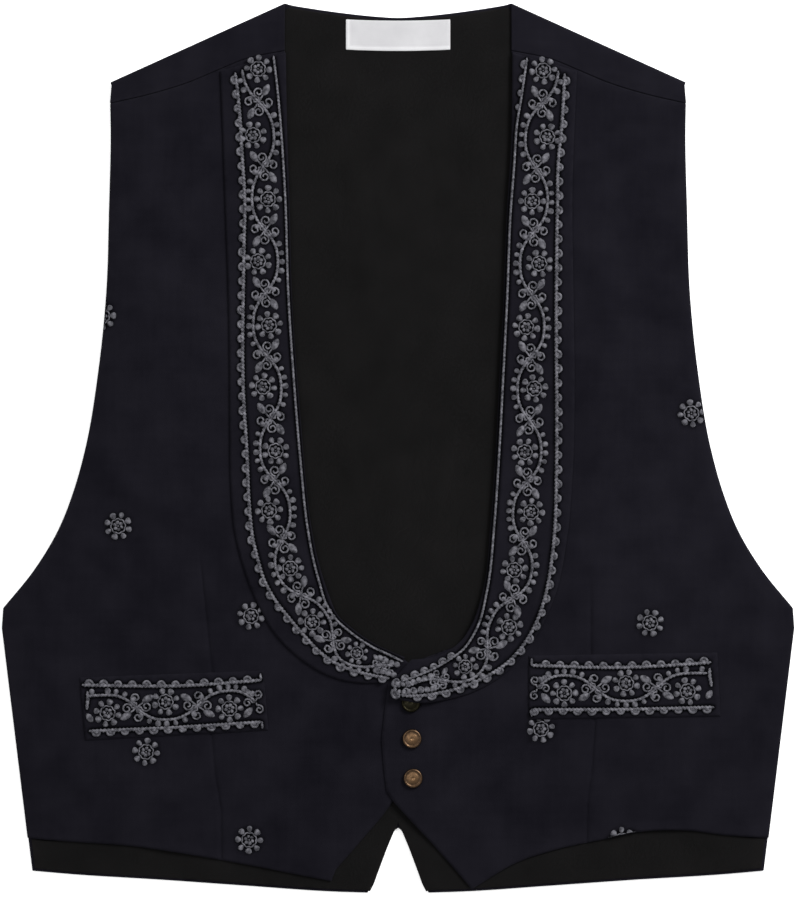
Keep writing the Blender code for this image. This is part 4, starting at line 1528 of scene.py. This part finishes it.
def cords(paths, width, height, bead=BEAD, swell=0.16, closed=False):
    """Laid stitches: a six-sided section carried along each path, swelling with a slanted cosine of
    the run, and thinner towards open ends."""
    paths = np.asarray(paths, float)
    paths = paths[None] if paths.ndim == 2 else paths
    count, steps = paths.shape[:2]
    if closed:
        way = np.roll(paths, -1, axis=1) - np.roll(paths, 1, axis=1)
    else:
        way = np.gradient(paths, axis=1)
    way = way / np.linalg.norm(way, axis=2)[..., None]
    leg = np.linalg.norm(np.diff(paths, axis=1), axis=2)
    run = np.concatenate([np.zeros((count, 1)), np.cumsum(leg, axis=1)], axis=1)[..., None]
    wave = np.cos(2.0 * math.pi * run / bead + CORD_SLANT * CORD_SECTION)
    ends = 1.0
    if not closed:
        ends = np.sqrt(np.clip(np.minimum(run, run[:, -1:] - run) / width + CORD_END, 0.0, 1.0))
    off = CORD_SECTION * width * (1.0 + swell * wave) * ends
    h = CORD_RISE * height * (1.0 + 1.4 * swell * wave) * ends
    h[..., 0] = h[..., 4] = -SKIRT
    h[..., 5] = -FOOT
    px = paths[..., :1] - way[..., 1:] * off
    py = paths[..., 1:] + way[..., :1] * off
    uv = np.stack([(run + 0.9 * off) / (bead / 2) + 0 * off, off / THREAD], axis=-1)
    index = np.arange(steps * 6).reshape(steps, 6)
    ahead = np.roll(index, -1, axis=0) if closed else index[1:]
    here = index if closed else index[:-1]
    corners = [here, ahead, np.roll(ahead, -1, axis=1), np.roll(here, -1, axis=1)]
    quads = np.stack(corners, axis=-1).reshape(-1, 4)
    if not closed:
        first, last = index[0], index[-1]
        caps_at_ends = [
            first[[0, 1, 4, 5]],
            first[[1, 2, 3, 4]],
            last[[5, 4, 1, 0]],
            last[[4, 3, 2, 1]],
        ]
        quads = np.vstack([quads] + caps_at_ends)
    quads = (quads[None] + (np.arange(count) * steps * 6)[:, None, None]).reshape(-1, 4)
    xy = np.stack([px, py], axis=-1).reshape(-1, 2)
    return xy, h.ravel(), uv.reshape(-1, 2), quads, np.zeros((0, 3), int)


def gathered(parts):
    """All the parts as one."""
    sizes = np.cumsum([0] + [len(part[0]) for part in parts])
    columns = [np.concatenate([part[k] for part in parts]) for k in range(3)]
    quads, tris = (np.vstack([part[k] + size for part, size in zip(parts, sizes)]) for k in (3, 4))
    return (*columns, quads, tris)


def moved(part, line):
    """A part drawn as (run, off), laid along a line of the plan."""
    xy = beside(line, part[0][:, 0], part[0][:, 1])
    return (xy, *part[1:])


def spun(shape, centre, angle, size=1.0, flip=1.0):
    """Copies of a small path, each flipped, sized, turned and put at its centre."""
    centre = np.asarray(centre, float).reshape(-1, 2)
    angle, size, flip = as_columns(len(centre), angle, size, flip)
    x, y = shape[:, 0] * size, shape[:, 1] * size * flip
    px = centre[:, :1] + x * np.cos(angle) - y * np.sin(angle)
    py = centre[:, 1:] + x * np.sin(angle) + y * np.cos(angle)
    return np.stack([px, py], axis=-1)


def rosettes(centre, size=1.0, turn=0.0):
    """Flowers: a ring of knots round a small one, a wavy loop round them, and teardrop petals on that."""
    centre = np.asarray(centre, float).reshape(-1, 2)
    size = np.broadcast_to(np.asarray(size, float), len(centre))
    turn = np.broadcast_to(np.asarray(turn, float), len(centre))
    circle = np.linspace(0.0, 2.0 * math.pi, 24, endpoint=False)
    loop = (LOOP_RADIUS - LOOP_WAVE * np.cos(PETALS * circle))[:, None] * rays(circle)
    angle = (turn[:, None] + np.arange(PETALS) * 2.0 * math.pi / PETALS).ravel()
    big = np.repeat(size, PETALS)
    at = np.repeat(centre, PETALS, axis=0) + (PETAL_AT * big)[:, None] * rays(angle)
    sway = PETAL_SWAY * np.sin(np.arange(len(angle)) * 2.4)
    petal_width = PETAL_WIDTH * big * (1.0 + sway)
    spread = (turn[:, None] + np.arange(KNOTS) * 2.0 * math.pi / KNOTS).ravel()
    some = np.repeat(size, KNOTS)
    knots = np.repeat(centre, KNOTS, axis=0) + (KNOTS_AT * some)[:, None] * rays(spread)
    some = some * (1.0 + 0.12 * np.sin(np.arange(len(some)) * 1.3))
    return [
        domes(knots, spread + 0.7, KNOT * some * 1.2, KNOT * some, CORD_HEIGHT),
        cords(spun(loop, centre, turn, size), LOOP_WIDTH, 0.55 * CORD_HEIGHT, bead=1.7, closed=True),
        domes(centre, turn, 0.5 * KNOT * size, 0.5 * KNOT * size, 0.5 * CORD_HEIGHT),
        domes(at, angle + sway, PETAL_LENGTH * big, petal_width, SATIN_HEIGHT, taper=PETAL_TAPER),
    ]


def curl_path():
    """Tendril: a straight start from the origin, then a spiral whose radius shrinks evenly."""
    turn = np.linspace(0.0, 2.0 * math.pi * CURL_TURNS, 26)
    radius = CURL_RADIUS + (CURL_END - CURL_RADIUS) * turn / turn[-1]
    coil = np.stack([CURL_OFF - radius * np.cos(turn), radius * np.sin(turn)], axis=1)
    lead = np.linspace(0.15, 0.8, 3)[:, None] * coil[:1]
    return np.vstack([lead, coil])


def crossings(centre, hand, size=1.0):
    """Where the vine crosses the band: four tendrils, and two leaves on the diagonal it leaves free."""
    centre = np.asarray(centre, float).reshape(-1, 2)
    hand = np.broadcast_to(np.asarray(hand, float), len(centre))
    size = np.broadcast_to(np.asarray(size, float), len(centre))
    tendril = curl_path()
    parts = []
    for quarter in range(4):
        angle = quarter * math.pi / 2 + 0.1 * hand
        flip = hand * (1.0 if quarter % 2 else -1.0)
        parts.append(cords(spun(tendril, centre, angle, size, flip), CURL_WIDTH, CORD_HEIGHT * 0.9))
    for way in (0.0, math.pi):
        angle = way + hand * LEAF_ANGLE
        lean = way + hand * LEAF_LEAN
        at = centre + LEAF_OFF * size[:, None] * rays(angle)
        parts.append(domes(at, lean, LEAF_LENGTH * size, LEAF_WIDTH * size, SATIN_HEIGHT, point=LEAF_POINT))
        stem = np.linspace(0.0, 0.62, 7)[:, None] * np.array([[LEAF_OFF, 0.0]])
        parts.append(cords(spun(stem, centre, angle, size), CURL_WIDTH, CORD_HEIGHT * 0.9))
    return parts


def vine_border(flower_runs, flower_offs, swings, from_phase, to_phase, first_side, size, pitches=None):
    """Border in (run, off): flowers, a vine that swings round each on its far side as a cosine with
    a little of its third harmonic, buds outside its bows, and tendrils and leaves where it crosses.

    pitches are the runs from flower to flower before the first and after the last one."""
    count = len(flower_runs)
    flower_runs = np.asarray(flower_runs, float)

    def run_of(phase):
        """Run at a phase, where flower k has phase k, going on evenly past the ends."""
        inside = np.interp(phase, np.arange(count), flower_runs)
        early, late = pitches or (flower_runs[1] - flower_runs[0], flower_runs[-1] - flower_runs[-2])
        return inside + np.minimum(phase, 0.0) * early + np.maximum(phase - (count - 1), 0.0) * late

    def vine_off(phase):
        """Distance of the vine from the band's middle."""
        wave = (1.0 + VINE_SHARPER) * np.cos(math.pi * phase) - VINE_SHARPER * np.cos(3.0 * math.pi * phase)
        return first_side * swings(run_of(phase)) * wave

    phase = np.linspace(from_phase, to_phase, int((to_phase - from_phase) * PHASE_STEPS))
    vine = even(np.stack([run_of(phase), vine_off(phase)], axis=1), BEAD / 6)
    parts = [cords(vine, VINE_WIDTH, CORD_HEIGHT)]
    sizes = size(flower_runs)
    parts += rosettes(np.stack([flower_runs, flower_offs], axis=1), sizes, 0.2 + 0.31 * np.arange(count))

    bows = np.arange(math.ceil(from_phase), math.floor(to_phase) + 1)
    bud_phase = (bows[:, None] + BUD_FIRST + BUD_STEP * np.arange(BUDS)).ravel()
    bow_side = np.repeat(first_side * np.where(bows % 2 == 0, 1.0, -1.0), BUDS)
    kept = (bud_phase > from_phase + BUDS_CLEAR) & (bud_phase < to_phase - BUDS_CLEAR)
    bud_phase, bow_side = bud_phase[kept], bow_side[kept]
    before, after = bud_phase - SLOPE_STEP, bud_phase + SLOPE_STEP
    slope = (vine_off(after) - vine_off(before)) / (run_of(after) - run_of(before))
    angle = np.arctan(slope) + bow_side * math.pi / 2
    stem = np.stack([run_of(bud_phase), vine_off(bud_phase)], axis=1)
    bud_size = size(run_of(bud_phase))
    tip = stem + (BUD_OFF * bud_size)[:, None] * rays(angle)
    uneven = bud_size * (1.0 + BUD_UNEVEN * np.sin(np.arange(len(angle)) * 1.9))
    parts.append(domes(tip, angle, BUD_LENGTH * uneven, BUD_WIDTH * uneven, SATIN_HEIGHT, taper=BUD_TAPER))

    cross = np.arange(math.floor(from_phase) + 0.5, to_phase - CROSSINGS_CLEAR, 1.0)
    cross = cross[cross > from_phase + CROSSINGS_CLEAR]
    hand = first_side * np.where(np.floor(cross) % 2 == 0, 1.0, -1.0)
    middle = np.stack([run_of(cross), vine_off(cross)], axis=1)
    parts += crossings(middle, hand, size(run_of(cross)))
    return parts


def scallops(
    line, side_off, first=SCALLOP_STEP / 2, until=None, step=SCALLOP_STEP, filling=FILLING, sizes=(1.0, 1.0)
):
    """Row of half-round loops on one side of a line, with a filling, drawn as (run, off).

    sizes are those of the first and the last loop."""
    length = runs(line)[-1] if until is None else until
    at = np.arange(first, length - SCALLOPS_CLEAR, step)
    turn = np.linspace(0.0, math.pi, 9)
    arc = np.stack([SCALLOP_HALF * np.cos(turn), SCALLOP_BASE + SCALLOP_TALL * np.sin(turn)], axis=1)
    size = np.linspace(*sizes, len(at)) * (1.0 + SCALLOP_UNEVEN * np.sin(at * 1.7))
    paths = spun(arc, np.stack([at, 0.0 * at], axis=1), 0.05 * np.sin(at), size, side_off)
    loops = cords(paths, SCALLOP_THREAD, SATIN_HEIGHT, bead=SCALLOP_BEAD, swell=SCALLOP_SWELL)
    inside = np.stack([at, np.full(len(at), side_off)], axis=1)
    fillings = domes(inside, 0.0, FILLING_LENGTH, FILLING_WIDTH, filling * SATIN_HEIGHT)
    return moved(gathered([loops, fillings]), line)


def embroider(name, side, parts, surface):
    """One mesh of all the stitches of a piece, each standing on the piece's face."""
    xy, h, uv, quads, tris = gathered(parts)
    points = placed(xy, surface(side, xy) + h, side)
    faces = turned(quads, side).tolist() + turned(tris, side).tolist()
    return add_piece(name, points, faces, stitch_finish, "thread", uv=uv)


def stitch_shade(parts, spread=0.8, cell=0.25):
    """Field of how close the stitches are, for painted shade: their points counted on a fine grid, then
    blurred.

    The blur is three box means along each way, which come near a bell curve. It returns a function
    of a plan that gives 0 far from all stitches and about 1 between close ones."""
    xy = gathered(parts)[0]
    start_at = xy.min(axis=0) - 4.0
    count = ((xy.max(axis=0) + 4.0 - start_at) / cell).astype(int) + 1
    field = np.zeros(count)
    spot = ((xy - start_at) / cell).astype(int)
    field[spot[:, 0], spot[:, 1]] = 1.0
    reach = max(1, int(round(spread / cell)))
    for axis in (0, 1, 0, 1, 0, 1):
        margin = [(reach + 1, reach) if way == axis else (0, 0) for way in (0, 1)]
        total = np.cumsum(np.pad(field, margin), axis=axis)
        after = np.take(total, range(2 * reach + 1, total.shape[axis]), axis=axis)
        before = np.take(total, range(0, total.shape[axis] - 2 * reach - 1), axis=axis)
        field = (after - before) / (2 * reach + 1)

    def shade(plan):
        """Closeness of the stitches at each point of a plan."""
        at = np.clip(((plan - start_at) / cell).astype(int), 0, count - 1)
        return np.clip(SHADE_GAIN * field[at[..., 0], at[..., 1]], 0.0, 1.0)

    return shade


def across_collar(side, plan):
    """Share across a collar, from -1 at its inner edge to 1 at its outer one, at the nearest section."""
    v = np.linspace(0.0, 1.0, 260)
    inner, outer = at_shares(smooth(COLLAR_INNER[side]), v), at_shares(smooth(COLLAR_OUTER[side]), v)
    middle, half = (inner + outer) / 2, (outer - inner) / 2
    far = (plan[:, None, 0] - middle[None, :, 0]) ** 2 + (plan[:, None, 1] - middle[None, :, 1]) ** 2
    nearest = far.argmin(axis=1)
    reach = half[nearest]
    return np.clip(((plan - middle[nearest]) * reach).sum(axis=1) / (reach**2).sum(axis=1), -1.0, 1.0)


def stitched_collar_face(side, plan):
    """Face of a collar under any of its stitches."""
    return collar_face(side, plan, across_collar(side, plan))


def collar_stitches(side):
    """Border lines, scallops, and the vine border between them, from the shoulder to the crossing."""
    inner, outer = smooth(THREAD_INNER[side]), smooth(THREAD_OUTER[side])
    v = np.linspace(0.0, 1.0, 300)
    middle = (at_shares(inner, v) + at_shares(outer, v)) / 2
    at = runs(middle)
    space = np.linalg.norm(middle[:, None] - outer[None], axis=2).min(axis=1)

    def room(run):
        """Distance from the band's middle to its outer thread line."""
        return np.interp(run, at, space)

    def swings(run):
        """Swing of the vine, less where the band is narrow."""
        return np.clip(VINE_GAIN * (room(run) - VINE_ROOM), VINE_LEAST, VINE_SWING)

    def size(run):
        """Size of the motifs, smaller where the band is narrow."""
        return np.clip(room(run) / FULL_ROOM, SMALLEST, 1.0)

    flower_runs, flower_offs = along(middle, COLLAR_FLOWERS[side])
    border = vine_border(flower_runs, flower_offs, swings, VINE_START, VINE_END[side], 1.0, size)
    parts = [moved(part, middle) for part in border]
    seeds = at[-1] - SEEDS_FROM_TIP[side]
    for off in (-1.0, 1.0):
        spots = np.stack([seeds, off * (0.5 * room(seeds) + 0.1)], axis=1)
        drawn = domes(spots, off * 0.9, SEED_LENGTH, SEED_WIDTH * room(seeds), SATIN_HEIGHT)
        parts.append(moved(drawn, middle))
    rings = at[-1] - RINGS_FROM_TIP[side]
    circle = np.linspace(0.0, 2.0 * math.pi, 12, endpoint=False)
    lace = spun(LACE_RING * rays(circle), np.stack([rings, 0.42 * room(rings)], axis=1), 0.0)
    parts.append(moved(cords(lace, CURL_WIDTH, CORD_HEIGHT, closed=True), middle))
    parts.append(cords(even(outer, BEAD / 6), LINE_WIDTH, CORD_HEIGHT, swell=LINE_SWELL))
    parts.append(cords(even(inner, BEAD / 6), INNER_WIDTH, CORD_HEIGHT * 0.9))
    parts.append(scallops(outer, 1.0))
    if side == LEFT:
        tip = smooth(THREAD_TIP)
        parts.append(cords(even(tip, BEAD / 6), LINE_WIDTH, CORD_HEIGHT, swell=LINE_SWELL))
        parts.append(scallops(inner, -1.0, until=INNER_SCALLOPS_UNTIL, sizes=INNER_SCALLOP_SIZE))
        parts.append(scallops(inner[::-1], 1.0, first=3.0, until=TIP_SCALLOPS_UNTIL, step=TIP_SCALLOP_STEP))
        parts.append(scallops(tip, -1.0, first=2.4, step=TIP_SCALLOP_STEP))
    return parts


def welt_stitches(side):
    """Border lines with scallops on both long edges, the vine border and a squiggle at each end."""
    top, low = smooth(WELT_THREAD_TOP[side]), smooth(WELT_THREAD_LOW[side])
    v = np.linspace(0.0, 1.0, 80)
    middle = (at_shares(top, v) + at_shares(low, v)) / 2
    offs = WELT_FLOWER_OFF * np.array([1.0, -1.0, 1.0])
    border = vine_border(
        WELT_RUNS[side],
        offs,
        lambda run: VINE_SWING + 0.0 * run,
        *WELT_PHASES,
        -1.0,
        np.ones_like,
        WELT_PITCHES,
    )
    end = runs(middle)[-1]
    tendril = curl_path()
    at = np.array([[end - WELT_CURLS_BACK, 0.3]])
    for turn, flip in WELT_CURLS:
        border.append(cords(spun(tendril, at, turn, WELT_CURL_SIZE, flip), CURL_WIDTH, 0.9 * CORD_HEIGHT))
    border.append(domes(at + WELT_LEAF, -0.8, LEAF_LENGTH, LEAF_WIDTH, SATIN_HEIGHT, point=LEAF_POINT))
    border.append(domes(at + WELT_BUD, 0.9, BUD_LENGTH, BUD_WIDTH, SATIN_HEIGHT, taper=BUD_TAPER))
    seam_leaf = (0.8 * LEAF_LENGTH, 0.9 * LEAF_WIDTH)
    border.append(domes(WELT_SEAM_LEAF, 0.95, *seam_leaf, SATIN_HEIGHT, point=LEAF_POINT))
    border.append(cords(WELT_END_STITCH, LINE_WIDTH, CORD_HEIGHT))
    parts = [moved(part, middle) for part in border]
    for line, out_side, filling in ((top, -1.0, FILLING), (low, 1.0, LOW_FILLING)):
        parts.append(cords(even(line, BEAD / 6), LINE_WIDTH, CORD_HEIGHT, swell=LINE_SWELL))
        parts.append(scallops(line, out_side, filling=filling))
        off = out_side * np.linspace(-0.4, WELT_END_TURN, 8)
        turned_end = beside(line, np.full(8, runs(line)[-1]), off)
        parts.append(cords(turned_end, CURL_WIDTH * 1.3, CORD_HEIGHT))
    return parts


def cut_to_front(side, xy):
    """Stitch points kept inside the armhole, clear of the collar, above the hem and below the welt."""
    outer = front_outlines(side)[1]
    hem = smooth(HEM[side])
    band = smooth(COLLAR_OUTER[side])
    band = band[np.argsort(band[:, 1])]
    out = np.minimum(xy[:, 0], np.interp(xy[:, 1], outer[:, 1], outer[:, 0]) - ARMHOLE_CLEAR)
    out = np.maximum(out, np.interp(xy[:, 1], band[:, 1], band[:, 0]) + COLLAR_CLEAR)
    up = np.maximum(xy[:, 1], np.interp(out, hem[:, 0], hem[:, 1]) + HEM_CLEAR)
    low_in, _, low_out, _ = WELT[side]
    welt_low = np.interp(out, [low_in[0], low_out[0]], [low_in[1], low_out[1]]) - WELT_CLEAR
    covered = (up > welt_low) & (up < welt_low + WELT_COVERS) & (out > low_in[0] - WELT_BESIDE)
    return np.stack([out, np.where(covered, welt_low, up)], axis=1)


def worn_front_face(side, plan):
    """Face of a front with the roll and the turned edge at its armhole."""
    outer = front_outlines(side)[1]
    far = np.interp(plan[:, 1], outer[:, 1], outer[:, 0]) - plan[:, 0]
    roll = np.clip(1.0 - far / ROLL_WIDTH, 0.0, 1.0)
    turn = SOFT_TURN * turn_depth(far)
    return front_face(side, plan) - SIDE_DROP * roll - turn - dart_depth(side, plan)


def front_stitches(side):
    """Loose rosettes, cut off where an edge or the welt cuts them off."""
    centre = np.array(ROSETTES[side])
    flowers = rosettes(centre, 1.0, 0.3 + 0.7 * np.arange(len(centre)))
    return [(cut_to_front(side, part[0]), *part[1:]) for part in flowers]


def stitched(name, side, make, parts, surface):
    """A piece and its stitches: the cloth gets painted shade and is sunk round them."""
    cloth = make(name, side, stitch_shade(parts))
    return cloth, embroider("embroidery_" + name, side, parts, surface)


front_right, front_right_stitches = stitched(
    "front_right", RIGHT, make_front, front_stitches(RIGHT), worn_front_face
)
front_left, front_left_stitches = stitched(
    "front_left", LEFT, make_front, front_stitches(LEFT), worn_front_face
)
collar_right, collar_right_stitches = stitched(
    "collar_right", RIGHT, make_collar, collar_stitches(RIGHT), stitched_collar_face
)
collar_left, collar_left_stitches = stitched(
    "collar_left", LEFT, make_collar, collar_stitches(LEFT), stitched_collar_face
)
welt_right, welt_right_stitches = stitched("welt_right", RIGHT, make_welt, welt_stitches(RIGHT), welt_face)
welt_left, welt_left_stitches = stitched("welt_left", LEFT, make_welt, welt_stitches(LEFT), welt_face)


# Floor, light and camera

def add_floor():
    """Plain pale floor just under the vest."""
    mesh = bpy.data.meshes.new("floor")
    corners = [(FLOOR_HALF * x, FLOOR_HALF * y, FLOOR_LEVEL) for x, y in ((-1, -1), (1, -1), (1, 1), (-1, 1))]
    mesh.from_pydata(corners, [], [(0, 1, 2, 3)])
    mesh.materials.append(floor_finish())
    thing = bpy.data.objects.new("floor", mesh)
    bpy.context.scene.collection.objects.link(thing)


def add_light(name, place, size, power):
    """Soft square light, aimed at the middle of the vest."""
    data = bpy.data.lights.new(name, "AREA")
    data.size = size
    data.energy = power
    thing = bpy.data.objects.new(name, data)
    thing.location = place
    aim = -thing.location
    thing.rotation_euler = aim.to_track_quat("-Z", "Y").to_euler()
    bpy.context.scene.collection.objects.link(thing)


def add_camera():
    """Camera straight above, far off, framed as the photograph is."""
    data = bpy.data.cameras.new("camera")
    data.sensor_width = SENSOR
    data.lens = SENSOR * CAMERA_AWAY / VIEW_HEIGHT
    data.clip_end = CAMERA_REACH
    thing = bpy.data.objects.new("camera", data)
    thing.location = (*VIEW_CENTRE, VIEW_LEVEL + CAMERA_AWAY)
    bpy.context.scene.collection.objects.link(thing)
    bpy.context.scene.camera = thing


add_floor()
for light_name, (light_place, light_size, light_power) in LIGHTS.items():
    add_light(light_name, light_place, light_size, light_power)
add_camera()
world = bpy.data.worlds.new("studio")
world.use_nodes = True
world.node_tree.nodes["Background"].inputs[0].default_value = (1.0, 1.0, 1.0, 1.0)
world.node_tree.nodes["Background"].inputs[1].default_value = ROOM_LIGHT
bpy.context.scene.world = world
bpy.context.scene.view_settings.view_transform = "Standard"
